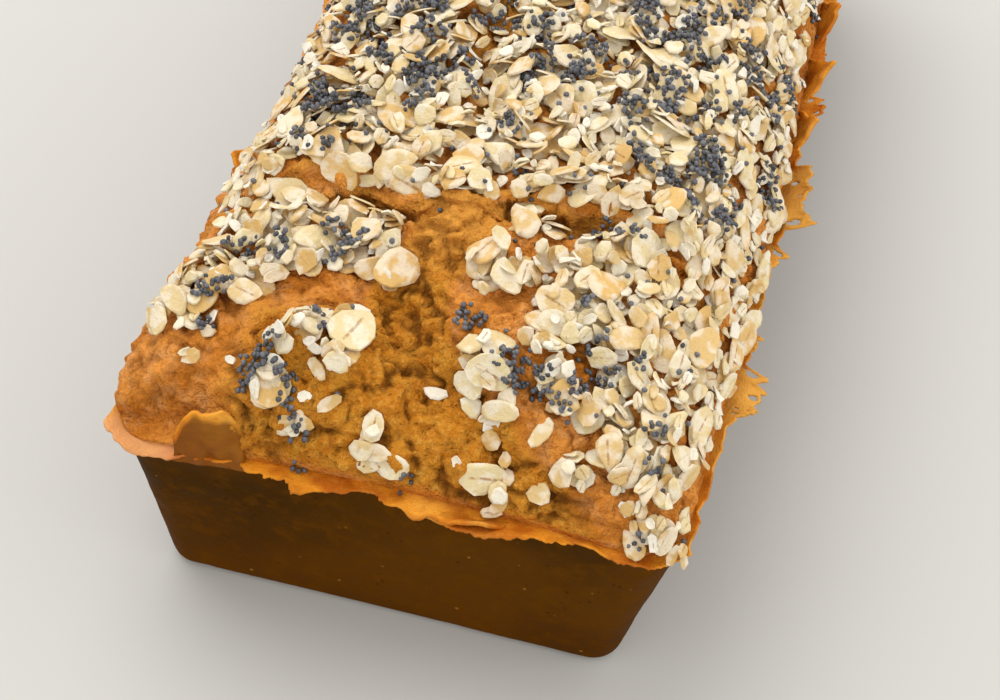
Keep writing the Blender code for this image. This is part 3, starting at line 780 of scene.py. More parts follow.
def flake_material(colours, name, pale, toasted):
    """An oat flake: cream to toasted from flake to flake, cloudy within it, and creased on some."""
    graph = Graph(name)
    tone, mark = graph.attribute("tone"), graph.attribute("mark")
    across, along = graph.attribute("across"), graph.attribute("along")
    fine, cloud = graph.noise(0.0009, 3.0, 0.6), graph.noise(0.0032, 2.0)
    colour = graph.mix(graph.between(tone, 0.1, 1.0), pale, toasted)
    colour = graph.mix(graph.between(cloud, 0.42, 0.60) * 0.6, colour, colours.flour)
    colour = graph.mix(graph.between(fine, 0.5, 0.78) * 0.35, colour, scaled(toasted, 0.82))
    crease = graph.between(across * across, 0.0, 0.012, 1.0, 0.0)
    crease = crease * graph.between(along * along, 0.2, 0.5, 1.0, 0.0)
    crease = crease * graph.between(mark, 0.68, 0.8) * graph.between(fine, 0.3, 0.6)
    colour = graph.mix(crease * 0.75, colour, paint(156, 104, 56))
    height = fine * 2.0 + graph.noise(0.0004, 2.0)
    return graph.surface(
        colour, graph.between(fine, 0.3, 0.7, 0.6, 0.8), graph.bump(height, 0.5, 0.0003), specular=0.2
    )


def poppy_material(colours):
    """A poppy seed: slate blue-grey, some nearly black, with fine pale flecks painted as glints and a dull
    sheen.
    """
    graph = Graph("poppy_seed")
    tone = graph.attribute("tone")
    fine = graph.noise(0.0003, 2.0)
    colour = graph.mix(tone, scaled(colours.poppy, 0.4), scaled(colours.poppy, 1.6))
    # Painted highlight: fine pale grey flecks standing in for glints
    colour = graph.mix(graph.between(fine, 0.5, 0.8) * 0.35, colour, paint(126, 128, 138))
    return graph.surface(colour, 0.40, graph.bump(fine, 0.5, 0.0001), specular=0.5)


# Pieces of the loaf


def build_top(form, material):
    """The dome: whole crust with fine cracks, and spongy torn crumb in its splits."""

    def along_weight(t):
        y = t * form.length / 2
        front = 1.0 - ease_between(y, -52.0, -40.0)
        wall = np.exp(-(((y + 59.0) / 9.0) ** 2))
        return 1.0 + 2.0 * front + 1.6 * wall

    s_lines = np.linspace(-1.0, 1.0, TOP_ACROSS)
    t_lines = spaced_lines(along_weight, TOP_ALONG)
    s, t = np.meshgrid(s_lines, t_lines, indexing="ij")
    points = form.ring(s, t, WALL_INSET_SIDE, WALL_INSET_END, form.rim)
    points[..., 2] = form.dome_height(points[..., 0], points[..., 1])
    normal = np.cross(np.gradient(points, axis=0), np.gradient(points, axis=1))
    normal /= np.linalg.norm(normal, axis=-1, keepdims=True)
    relief, torn, hollow = form.relief(points[..., 0], points[..., 1], points[..., 2])
    _, _, edge = form.edge_gap(points[..., 0], points[..., 1])
    points = points + normal * (relief * ease_between(edge, 0.0, 0.7))[..., None]
    above = np.clip((points[..., 2] - form.rim - 0.5) / 11.0, 0.0, 1.0)
    uneven = 1.0 + 0.5 * smooth_noise(points[..., 0], points[..., 1], 0.0, 14.0, 91)
    swell = 2.2 * np.sin(np.pi * above) * uneven
    outward = normal[..., :2] * ease_between(np.linalg.norm(normal[..., :2], axis=-1), 0.3, 0.9)[..., None]
    left = ease_between(-points[..., 0], 10.0, 40.0) * (1.0 - torn)
    corner = ease_between(-points[..., 0], 24.0, 44.0) * ease_between(-points[..., 1], 80.0, 100.0)
    points[..., :2] += outward * (swell * left * (1.0 - 0.3 * corner))[..., None]
    grid = np.arange(s.size).reshape(s.shape)
    quads = np.stack([grid[:-1, :-1], grid[1:, :-1], grid[1:, 1:], grid[:-1, 1:]], axis=-1)
    faces = quads.reshape(-1, 4).tolist()
    border = square_border(*s.shape)
    ring = grid[border[:, 0], border[:, 1]]
    border_s, border_t = s_lines[border[:, 0]], t_lines[border[:, 1]]
    skirt = form.ring(border_s, border_t, WALL_INSET_SIDE + 1.2, WALL_INSET_END + 1.2, form.rim - 3.0)
    under = s.size + np.arange(len(border))
    faces += band_faces(ring, under)
    faces.append(under[::-1].tolist())
    piece = new_piece("top_crust", np.concatenate([points.reshape(-1, 3), skirt]), faces)
    zeros = np.zeros(len(border))
    store(piece, "torn", np.concatenate([torn.ravel(), zeros]))
    # Share of painted shade in the hollows, read by the top material
    store(piece, "hollow", np.concatenate([hollow.ravel(), zeros]))
    # Share of painted light on the crumb, from just before the cross split to the back end
    warm = ease_between(points[..., 1], -80.0, -68.0)
    store(piece, "warm", np.concatenate([warm.ravel(), zeros]))
    finish_piece(piece, material)
    return piece


def build_sides(form, material):
    """The tapered crust that lay against the tin, with its rounded lower edge and flat base."""
    s_lines, t_lines = np.linspace(-1.0, 1.0, SIDE_ACROSS), np.linspace(-1.0, 1.0, SIDE_ALONG)
    border = square_border(len(s_lines), len(t_lines))
    s, t = s_lines[border[:, 0]], t_lines[border[:, 1]]
    levels = list(np.linspace(form.rim - 0.6, BASE_ROUNDING, SIDE_RINGS))
    turn = np.linspace(0.0, np.pi / 2, EDGE_RINGS)[1:]
    rings = []
    for height in levels:
        rings.append(form.ring(s, t, *form.wall_insets(height), height))
    side, end = form.wall_insets(0.0)
    for angle in turn:
        inward = BASE_ROUNDING * (1.0 - np.cos(angle)) + 0.35 * np.sin(angle) - 0.35
        height = BASE_ROUNDING * (1.0 - np.sin(angle))
        rings.append(form.ring(s, t, side + inward, end + inward, height))
    rings = np.array(rings)
    x, y, z = rings[..., 0], rings[..., 1], rings[..., 2]
    uneven = 0.30 * smooth_noise(x, y, z, 17.0, 101) + 0.12 * smooth_noise(x, y, z, 5.0, 102)
    uneven = uneven + 0.05 * smooth_noise(x, y, z, 1.8, 103) - 0.35 * bubbles(x, y, z, 5.0, 0.10, 104)
    uneven = uneven * ease_between(z, 0.4, 3.0)
    outward = np.stack([np.sign(s) * (np.abs(s) >= np.abs(t)), np.sign(t) * (np.abs(t) > np.abs(s))], axis=-1)
    rings[..., :2] += outward[None] * uneven[..., None]
    count = len(s)
    faces = []
    for row in range(len(rings) - 1):
        faces += band_faces(row * count + np.arange(count), (row + 1) * count + np.arange(count))
    faces.append(list(range(count)))
    faces.append(((len(rings) - 1) * count + np.arange(count))[::-1].tolist())
    piece = new_piece("side_crust", rings.reshape(-1, 3), faces)
    store(piece, "low", 1.0 - ease_between(rings[..., 2], 4.0, 36.0).ravel())
    finish_piece(piece, material)
    return piece


def open_runs(keep):
    """Clears cells that would touch another kept cell at a corner alone."""
    for _ in range(3):
        a, b = keep[:-1, :-1], keep[1:, :-1]
        c, d = keep[:-1, 1:], keep[1:, 1:]
        crossed = (a & d & ~b & ~c) | (b & c & ~a & ~d)
        keep[:-1, 1:][crossed] = False
        keep[1:, 1:][crossed] = False
    return keep


def build_film(form, material):
    """The thin ragged crust round the rim: an amber lip along the front, lacy and spiked elsewhere."""
    rows = FILM_ROWS
    end = np.linspace(-1.0, 1.0, FILM_ACROSS, endpoint=False)
    side = np.linspace(-1.0, 1.0, FILM_ALONG, endpoint=False)
    s = np.concatenate([end, np.ones_like(side), -end, -np.ones_like(side)])
    t = np.concatenate([-np.ones_like(end), side, np.ones_like(end), -side])
    count = len(s)
    foot = form.ring(s, t, WALL_INSET_SIDE + 0.9, WALL_INSET_END + 0.9, form.rim)
    outer = form.ring(s, t, 0.0, 0.0, form.rim)
    out = outer[:, :2] - foot[:, :2]
    out /= np.linalg.norm(out, axis=1, keepdims=True)
    tangent = np.stack([-out[:, 1], out[:, 0]], axis=1)
    x, y = outer[:, 0], outer[:, 1]
    front = ease_between(-y, form.length / 2 - 8.0, form.length / 2 - 4.0)
    shelf = front * ease_between(-x, 38.0, 44.0)
    lip = front * (1.0 - shelf)
    rise = 22.0 - 12.0 * lip - 16.0 * shelf + (28.0 - 14.0 * lip) * smooth_noise(x, y, 0.0, 9.0, 111)
    jagged = 0.9 * smooth_noise(x, y, 0.0, 1.6, 113) + 0.6 * smooth_noise(x, y, 0.0, 0.8, 116)
    jagged = jagged + 0.4 * smooth_noise(x, y, 0.0, 0.4, 117)
    near_corner = ease_between(-x, 38.0, 44.0) * ease_between(-y, 78.0, 88.0)
    fans = 0.4 * ease_between(smooth_noise(x, y, 16.0, 8.0, 120), -0.15, 0.3)
    fans = fans * (1.0 - front) * (1.0 - near_corner)
    right = ease_between(x, 40.0, 50.0)
    fan_reach = np.interp(y, FAN_Y, FAN_REACH) * right
    fans = fans * (1.0 - right) + ease_between(fan_reach, 3.8, 5.6)
    lobes = 1.5 * smooth_noise(x, y, 0.0, 4.2, 112) + 1.8 * np.abs(smooth_noise(x, y, 4.0, 3.0, 114))
    reach = form.film_length * 0.66 + 0.5 * smooth_noise(x, y, 0.0, 5.0, 122) + 0.35 * jagged
    reach = reach + (1.0 - right) * fans * (2.6 + lobes + 1.1 * jagged) - 1.2 * near_corner * (1.0 - front)
    right_reach = fan_reach + fans * (0.35 * lobes + 1.3 * jagged - 0.5) + 0.3 * jagged
    reach = reach * (1.0 - right) + right_reach * right
    wide = np.interp(x, LIP_X, LIP_REACH) + 1.1 * smooth_noise(x, y, 0.0, 3.0, 123) + 0.6 * jagged
    reach = reach * (1.0 - lip) + wide * lip + 1.6 * shelf
    reach = np.maximum(reach, 1.3)
    v = np.linspace(0.0, 1.0, rows)[:, None]
    angle = np.radians(rise)[None] * (0.35 + 0.65 * v)
    flat = reach[None] * v * np.cos(angle)
    up = reach[None] * v * np.sin(angle) + 0.6 * v * smooth_noise(x, y, 8.0, 3.0, 115)[None]
    skew = 1.7 * smooth_noise(x, y, 12.0, 3.8, 119)[None] * v**2 * (1.0 - 0.6 * front)
    points = np.empty((rows, count, 3))
    points[..., :2] = foot[None, :, :2] + out[None] * flat[..., None] + tangent[None] * skew[..., None]
    points[..., 2] = form.rim + 0.35 + up
    across = (v[:-1] + v[1:]) / 2
    px, py = (x + np.roll(x, -1)) / 2, (y + np.roll(y, -1)) / 2
    lace = bubbles(px[None], py[None], 0.45 * across * reach[None], 1.5, 0.5, 118)
    keep = ~((lace > 0.26) & (across > 0.42) & (across < 0.92) & (fans[None] > 0.5))
    keep = open_runs(keep)
    faces = []
    for row in range(rows - 1):
        first, second = row * count + np.arange(count), (row + 1) * count + np.arange(count)
        quads = np.stack([first, second, np.roll(second, -1), np.roll(first, -1)], axis=-1)
        faces += quads[keep[row]].tolist()
    piece = new_piece("rim_film", points.reshape(-1, 3), faces)
    tip = v * ease_between(reach, 3.5, 7.0)[None]
    store(piece, "reach", np.broadcast_to(tip, (rows, count)).ravel())
    store(piece, "pale", np.broadcast_to(shelf * 0.7, (rows, count)).ravel())
    gold = right * fans * ease_between(-y, 6.0, 12.0)
    store(piece, "gold", np.broadcast_to(gold, (rows, count)).ravel())
    brown = 0.3 * ease_between(smooth_noise(x, y, 20.0, 7.0, 121), 0.0, 0.6)
    store(piece, "baked", (brown[None] * (1.0 - v)).ravel())
    shell = piece.modifiers.new("thickness", "SOLIDIFY")
    shell.thickness = form.film_thickness * MM
    shell.offset = 0.0
    applied(piece)
    finish_piece(piece, material)
    return piece


def build_flaps(form, material):
    """The larger flaps of crust that stand at the rim, curled and torn along their top."""
    points, faces, reach, baked = [], [], [], []
    first = 0
    for number, (x, y, width, height, yaw, lean, blunt) in enumerate(FLAPS):
        across, level = np.meshgrid(np.linspace(-0.5, 0.5, FLAP_COLUMNS), np.linspace(0.0, 1.0, FLAP_ROWS))
        side = np.abs(across) * 2.0
        top = blunt * (1.0 - 0.55 * side**3.5) + (1.0 - blunt) * (1.0 - 0.85 * side)
        torn = 1.0 - 0.65 * blunt
        top = top - 0.12 * torn * smooth_noise(across * width, number * 7.0, 0.0, 3.0, 41)
        top = top - 0.07 * torn * smooth_noise(across * width, number * 3.0, 2.0, 1.0, 42)
        z = level * height * top - 1.2 * (1.0 - level)
        narrow = 1.0 - 0.12 * level
        waves = smooth_noise(across * width, number * 5.0, level * 3.0, 4.0, 43)
        curl = 1.4 * across * side * level + 1.1 * level**2 * waves
        local = np.stack([across * width * narrow, curl, z], axis=-1).reshape(-1, 3)
        local[:, 1] += (0.25 + 0.3 * blunt) * smooth_noise(local[:, 0], local[:, 2], number * 9.0, 2.0, 44)
        turn = Matrix.Rotation(np.radians(yaw), 3, "Z") @ Matrix.Rotation(np.radians(lean), 3, "X")
        placed = local @ np.array(turn).T + np.array([x, y, form.rim])
        rows, columns = across.shape
        grid = first + np.arange(rows * columns).reshape(rows, columns)
        quads = np.stack([grid[:-1, :-1], grid[:-1, 1:], grid[1:, 1:], grid[1:, :-1]], axis=-1)
        faces += quads.reshape(-1, 4).tolist()
        points.append(placed)
        reach.append(level.ravel())
        brown = 0.8 if blunt > 0.95 else 0.3
        uneven = 0.12 * smooth_noise(across * width, number * 11.0, 5.0, 2.2, 45)
        edge = ease_between(level + uneven, 0.80, 0.94)
        baked.append((brown * (1.0 - edge)).ravel())
        first += rows * columns
    piece = new_piece("rim_flaps", np.concatenate(points), faces)
    store(piece, "reach", 0.95 - 0.6 * np.concatenate(reach))
    store(piece, "pale", np.zeros(first))
    store(piece, "gold", np.zeros(first))
    store(piece, "baked", np.concatenate(baked))
    shell = piece.modifiers.new("thickness", "SOLIDIFY")
    shell.thickness = 1.8 * form.film_thickness * MM
    shell.offset = 0.0
    applied(piece)
    finish_piece(piece, material)
    return piece


# Toppings


def flake_variant(name, random, sides, cuts, ragged):
    """One oat flake of unit half sizes and thickness: an uneven oval plate, cupped, twisted or broken."""
    angles = (np.arange(sides) + random.uniform(-0.18, 0.18, sides)) * 2 * np.pi / sides
    radius = 1.0 + 0.08 * np.cos(2 * angles + random.uniform(0, 6))
    radius = radius + 0.07 * np.cos(3 * angles + random.uniform(0, 6))
    radius = radius + random.uniform(-ragged, ragged, sides)
    for _ in range(cuts):
        facing = np.cos(angles - random.uniform(0, 2 * np.pi))
        reach = random.uniform(0.45, 0.78)
        cut = np.where(facing > reach, np.minimum(radius, reach / np.maximum(facing, reach)), radius)
        radius = 0.75 * cut + 0.125 * (np.roll(cut, 1) + np.roll(cut, -1))
    rim = np.stack([np.cos(angles), np.sin(angles)], axis=-1) * radius[:, None]
    inner = rim * 0.6
    cup, twist, fold = random.uniform(-0.9, 1.3), random.uniform(-0.9, 0.9), random.uniform(0.0, 0.8)

    def bend(flat):
        return cup * flat[:, 0] ** 2 + twist * flat[:, 0] * flat[:, 1] + fold * np.abs(flat[:, 1])

    wave = random.uniform(-0.15, 0.15, sides)
    upper_rim = np.column_stack([rim * 0.96, bend(rim) + 0.26 + wave])
    upper_inner = np.column_stack([inner * 1.2, bend(inner) + 0.52 + random.uniform(-0.08, 0.08, sides)])
    lower = np.column_stack([rim, bend(rim) - 0.38 + wave])
    middle = np.array([[0.0, 0.0, 0.46]])
    points = np.concatenate([upper_rim, upper_inner, lower, middle])
    faces = []
    for k in range(sides):
        after = (k + 1) % sides
        faces.append((sides + k, k, after, sides + after))
        faces.append((3 * sides, sides + k, sides + after))
        faces.append((k, 2 * sides + k, 2 * sides + after, after))
    faces.append(tuple(range(3 * sides - 1, 2 * sides - 1, -1)))
    mesh = bpy.data.meshes.new(name)
    mesh.from_pydata(points.tolist(), [], faces)
    mesh.shade_smooth()
    mesh.set_sharp_from_angle(angle=np.radians(55.0))
    variant = bpy.data.objects.new(name, mesh)
    store(variant, "along", points[:, 0])
    store(variant, "across", points[:, 1])
    return variant


def seed_variant(name, random):
    """One poppy seed of unit half size: a kidney-like bead with few faces."""
    rings, sides = 3, 6
    points = [(0.0, 0.0, 1.0)]
    for ring in range(1, rings + 1):
        polar = np.pi * ring / (rings + 1)
        for k in range(sides):
            angle = 2 * np.pi * (k + 0.5 * (ring % 2)) / sides
            points.append((np.sin(polar) * np.cos(angle), np.sin(polar) * np.sin(angle), np.cos(polar)))
    points.append((0.0, 0.0, -1.0))
    points = np.array(points)
    points *= np.array([1.12, 0.92, 0.88]) * random.uniform(0.94, 1.06, (len(points), 1))
    points[:, 0] -= 0.22 * points[:, 1] ** 2
    last = len(points) - 1
    faces = []
    for k in range(sides):
        after = (k + 1) % sides
        faces.append((0, 1 + k, 1 + after))
        faces.append((last, last - sides + after, last - sides + k))
    for ring in range(rings - 1):
        a, b = 1 + ring * sides, 1 + (ring + 1) * sides
        for k in range(sides):
            after = (k + 1) % sides
            faces.append((a + k, b + k, b + after, a + after))
    mesh = bpy.data.meshes.new(name)
    mesh.from_pydata(points.tolist(), [], faces)
    mesh.shade_smooth()
    return bpy.data.objects.new(name, mesh)


def topping_tree():
    """A node tree that puts one of several shapes on each point, turned and sized by the point's values."""
    tree = bpy.data.node_groups.new("topping_scatter", "GeometryNodeTree")
    face = tree.interface
    face.new_socket("Geometry", in_out="INPUT", socket_type="NodeSocketGeometry")
    face.new_socket("Shapes", in_out="INPUT", socket_type="NodeSocketCollection")
    unit = face.new_socket("Unit size", in_out="INPUT", socket_type="NodeSocketFloat")
    unit.default_value = MM
    face.new_socket("Tone seed", in_out="INPUT", socket_type="NodeSocketInt")
    face.new_socket("Finish", in_out="INPUT", socket_type="NodeSocketMaterial")
    face.new_socket("Geometry", in_out="OUTPUT", socket_type="NodeSocketGeometry")
    nodes, links = tree.nodes, tree.links

    def named(name, data_type):
        node = nodes.new("GeometryNodeInputNamedAttribute")
        node.data_type = data_type
        node.inputs["Name"].default_value = name
        return node.outputs["Attribute"]

    start, end = nodes.new("NodeGroupInput"), nodes.new("NodeGroupOutput")
    shapes = nodes.new("GeometryNodeCollectionInfo")
    shapes.inputs["Separate Children"].default_value = True
    shapes.inputs["Reset Children"].default_value = True
    links.new(start.outputs["Shapes"], shapes.inputs["Collection"])
    place = nodes.new("GeometryNodeInstanceOnPoints")
    place.inputs["Pick Instance"].default_value = True
    links.new(start.outputs["Geometry"], place.inputs["Points"])
    links.new(shapes.outputs["Instances"], place.inputs["Instance"])
    links.new(named("variant", "INT"), place.inputs["Instance Index"])
    links.new(named("turn", "FLOAT_VECTOR"), place.inputs["Rotation"])
    grow = nodes.new("ShaderNodeVectorMath")
    grow.operation = "SCALE"
    links.new(named("size", "FLOAT_VECTOR"), grow.inputs[0])
    links.new(start.outputs["Unit size"], grow.inputs["Scale"])
    links.new(grow.outputs[0], place.inputs["Scale"])
    last = place.outputs["Instances"]
    for name, offset in (("tone", 0), ("mark", 50)):
        pick = nodes.new("FunctionNodeRandomValue")
        pick.data_type = "FLOAT"
        step = nodes.new("ShaderNodeMath")
        step.operation = "ADD"
        step.inputs[1].default_value = offset
        links.new(start.outputs["Tone seed"], step.inputs[0])
        links.new(step.outputs[0], pick.inputs["Seed"])
        keep = nodes.new("GeometryNodeStoreNamedAttribute")
        keep.data_type = "FLOAT"
        keep.domain = "INSTANCE"
        keep.inputs["Name"].default_value = name
        links.new(last, keep.inputs["Geometry"])
        links.new(pick.outputs[1], keep.inputs["Value"])
        last = keep.outputs["Geometry"]
    realize = nodes.new("GeometryNodeRealizeInstances")
    links.new(last, realize.inputs["Geometry"])
    finish = nodes.new("GeometryNodeSetMaterial")
    links.new(realize.outputs["Geometry"], finish.inputs["Geometry"])
    links.new(start.outputs["Finish"], finish.inputs["Material"])
    links.new(finish.outputs["Geometry"], end.inputs["Geometry"])
    return tree


def scatter(name, sites, variants, material, seed):
    """One plain mesh with a variant standing on each site."""
    collection = bpy.data.collections.new(name + "_shapes")
    for variant in variants:
        collection.objects.link(variant)
    piece = new_piece(name, [site["place"] for site in sites], [], smooth=False)
    store(piece, "turn", [site["turn"] for site in sites], "FLOAT_VECTOR")
    store(piece, "size", [site["size"] for site in sites], "FLOAT_VECTOR")
    kinds = piece.data.attributes.new("variant", "INT", "POINT")
    kinds.data.foreach_set("value", np.array([site["variant"] for site in sites], dtype=np.int32))
    tree = topping_tree()
    modifier = piece.modifiers.new("scatter", "NODES")
    modifier.node_group = tree
    sockets = {item.name: item.identifier for item in tree.interface.items_tree if item.in_out == "INPUT"}
    modifier[sockets["Shapes"]] = collection
    modifier[sockets["Unit size"]] = MM
    modifier[sockets["Tone seed"]] = seed
    modifier[sockets["Finish"]] = material
    applied(piece)
    for spare in ("turn", "size", "variant"):
        if spare in piece.data.attributes:
            piece.data.attributes.remove(piece.data.attributes[spare])
    for variant in variants:
        mesh = variant.data
        bpy.data.objects.remove(variant, do_unlink=True)
        bpy.data.meshes.remove(mesh)
    bpy.data.collections.remove(collection)
    bpy.data.node_groups.remove(tree)
    finish_piece(piece, material)
    return piece


class RestingField:
    """Heights of the crust with all that already lies on it, so that each topping can be laid to rest."""

    STEP = 0.5
    DEEPEST = 4.2

    def __init__(self, form):
        self.half_x, self.half_y = form.width / 2 + 5.0, form.length / 2 + 3.0
        self.xs = np.arange(-self.half_x, self.half_x, self.STEP)
        self.ys = np.arange(-self.half_y, self.half_y, self.STEP)
        x, y = np.meshgrid(self.xs, self.ys, indexing="ij")
        _, _, edge = form.edge_gap(x, y)
        height = form.dome_height(x, y)
        relief, _, _ = form.relief(x, y, height)
        self.height = height + relief * ease_between(edge, 0.0, 0.7)
        self.height[edge <= 0.01] = form.rim + 0.6
        self.ground = self.height.copy()

    def window(self, x, y, reach):
        """Grid slices within reach of a point, with offsets from it."""
        i0, i1 = np.searchsorted(self.xs, (x - reach, x + reach))
        j0, j1 = np.searchsorted(self.ys, (y - reach, y + reach))
        dx, dy = np.meshgrid(self.xs[i0:i1] - x, self.ys[j0:j1] - y, indexing="ij")
        return (slice(i0, i1), slice(j0, j1)), dx, dy

    def lay(self, x, y, heading, half_long, half_short, thickness, tilt):
        """Rests a plate on the field, and gives its place and its turn."""
        area, dx, dy = self.window(x, y, half_long)
        u, v = dx * np.cos(heading) + dy * np.sin(heading), dy * np.cos(heading) - dx * np.sin(heading)
        inside = (u / half_long) ** 2 + (v / half_short) ** 2 < 1.0
        if inside.sum() < 6:
            return None
        field = self.height[area]
        heights, px, py = field[inside], dx[inside], dy[inside]
        columns = np.column_stack([np.ones_like(px), px, py])
        fit = np.linalg.lstsq(columns, heights, rcond=None)[0]
        slope_x, slope_y = np.clip(fit[1] + tilt[0], -1.4, 1.4), np.clip(fit[2] + tilt[1], -1.4, 1.4)
        plane = slope_x * px + slope_y * py
        base = np.percentile(heights - plane, 84)
        if base - self.ground[area][inside].mean() > self.DEEPEST:
            return None
        field[inside] = np.maximum(heights, base + plane + thickness * 0.8)
        normal = np.array([-slope_x, -slope_y, 1.0])
        normal /= np.linalg.norm(normal)
        first = np.array([np.cos(heading), np.sin(heading), 0.0])
        first -= normal * (first @ normal)
        first /= np.linalg.norm(first)
        second = np.cross(normal, first)
        turn = Matrix(np.array([first, second, normal]).T.tolist()).to_euler()
        place = np.array([x, y, base]) + normal * thickness * 0.4
        return place, tuple(turn)

    def drop(self, x, y, radius):
        """Rests a bead at a point, and gives its height."""
        area, dx, dy = self.window(x, y, radius)
        if dx.size == 0:
            return None
        field = self.height[area]
        inside = dx**2 + dy**2 < radius**2
        if not inside.any():
            return None
        base = field[inside].mean()
        field[inside] = np.maximum(field[inside], base + 1.5 * radius)
        return base + 0.62 * radius

    def lowest_near(self, x, y, reach, random):
        """The lowest of a few places near a point, where a bead would roll."""
        trial = random.uniform(-reach, reach, (4, 2)) + (x, y)
        i = np.clip(np.searchsorted(self.xs, trial[:, 0]), 0, len(self.xs) - 1)
        j = np.clip(np.searchsorted(self.ys, trial[:, 1]), 0, len(self.ys) - 1)
        return trial[np.argmin(self.height[i, j])]


def flake_share(form, x, y):
    """How thickly oats lie: dense behind the cross split, in patches before it, few on torn crumb."""
    behind = ease_between(y - np.interp(x, CROSS_X, CROSS_Y), -0.8, 0.8)
    torn = np.clip(form.split_depth(x, y) / 3.0, 0.0, 1.0)
    patches = np.full(np.shape(x), 0.03)
    for px, py, radius in OAT_PATCHES:
        away = np.hypot(x - px, y - py)
        patches = np.maximum(patches, 0.9 * (1.0 - ease_between(away, radius * 0.6, radius * 1.1)))
    crowded = 0.74 + 0.26 * ease_between(x, 34.0, 50.0)
    return np.clip(np.maximum(behind * crowded * (1.0 - 0.5 * torn), patches * (1.0 - 0.5 * torn)), 0.0, 1.0)


def seed_share(form, x, y):
    """How thickly single poppy seeds lie at a point."""
    torn = np.clip(form.split_depth(x, y) / 2.4, 0.0, 1.0)
    behind = ease_between(y, -75.0, -50.0)
    bare = np.hypot(x + 38.0, y + 104.0) < 12.0
    return np.clip((0.25 + 0.75 * behind) * (1.0 - 0.9 * torn) * np.where(bare, 0.1, 1.0), 0.0, 1.0)


def chosen_places(form, random, count, share, margin):
    """Seeded places inside the rim, taken where the share allows."""
    found = np.empty((0, 2))
    while len(found) < count:
        trial = random.uniform(-1.0, 1.0, (TRIALS, 2)) * (form.width / 2 + 2.0, form.length / 2)
        spilled = SPILL * (trial[:, 0] > 0.0) * (trial[:, 1] < -8.0)
        half_x = form.half_across(trial[:, 0], trial[:, 1]) + spilled
        half_y = form.length / 2 - WALL_INSET_END
        room = np.minimum(half_x - np.abs(trial[:, 0]), half_y - np.abs(trial[:, 1]))
        allowed = (random.random(TRIALS) < share(form, trial[:, 0], trial[:, 1])) & (room > margin)
        found = np.concatenate([found, trial[allowed]])
    return found[:count]


def lay_flake(field, random, x, y, heading, size, variants, lean):
    """The site of one flake, laid to rest on what is already there."""
    tilt = random.normal(0.0, lean, 2)
    laid = field.lay(x, y, heading, *size, tilt)
    if laid is None:
        return []
    place, turn = laid
    return [{"place": place, "turn": turn, "size": size, "variant": int(random.integers(variants))}]


def lay_flakes(field, random, places, whole_length, kind):
    """Sites for a layer of flakes; near the right rim most of them lie lengthwise."""
    scale, spread, flatness, thickness, variants, lean = kind
    length = whole_length * scale
    sites = []
    for x, y in places:
        half_long = 0.5 * length * random.uniform(1.0 - spread, 1.0 + spread)
        half_short = half_long * random.uniform(*flatness)
        heading = random.uniform(0, 2 * np.pi)
        if x > 40.0:
            heading = random.normal(0.5 * np.pi, 0.5)
            half_short *= 0.8
        size = (half_long, half_short, thickness * random.uniform(0.8, 1.3))
        sites += lay_flake(field, random, x, y, heading, size, variants, lean)
    return sites


def drop_seed(field, random, x, y, width, variants):
    """The site of one poppy seed, dropped on what is already there."""
    radius = 0.5 * width * random.uniform(0.84, 1.12)
    height = field.drop(x, y, radius)
    if height is None:
        return []
    turn = tuple(random.uniform(0, 2 * np.pi, 3))
    return [
        {
            "place": (x, y, height),
            "turn": turn,
            "size": (radius, radius, radius),
            "variant": int(random.integers(variants)),
        }
    ]


def drop_heap(field, random, x, y, count, width, variants):
    """Sites for a heap of poppy seeds that touch, in a long or round patch."""
    count = int(1.3 * count)
    spread = 0.46 * width * np.sqrt(count)
    stretch, heading = random.uniform(1.0, 1.7), random.uniform(0, np.pi)
    sites = []
    for k in range(count):
        away, angle = spread * np.sqrt((k + 0.5) / count), GOLDEN_ANGLE * k + random.uniform(-0.3, 0.3)
        u, v = away * np.cos(angle) * stretch, away * np.sin(angle) / stretch
        dx, dy = u * np.cos(heading) - v * np.sin(heading), u * np.sin(heading) + v * np.cos(heading)
        dx, dy = (dx, dy) + random.normal(0.0, 0.28 * width, 2)
        sites += drop_seed(field, random, x + dx, y + dy, width, variants)
    return sites


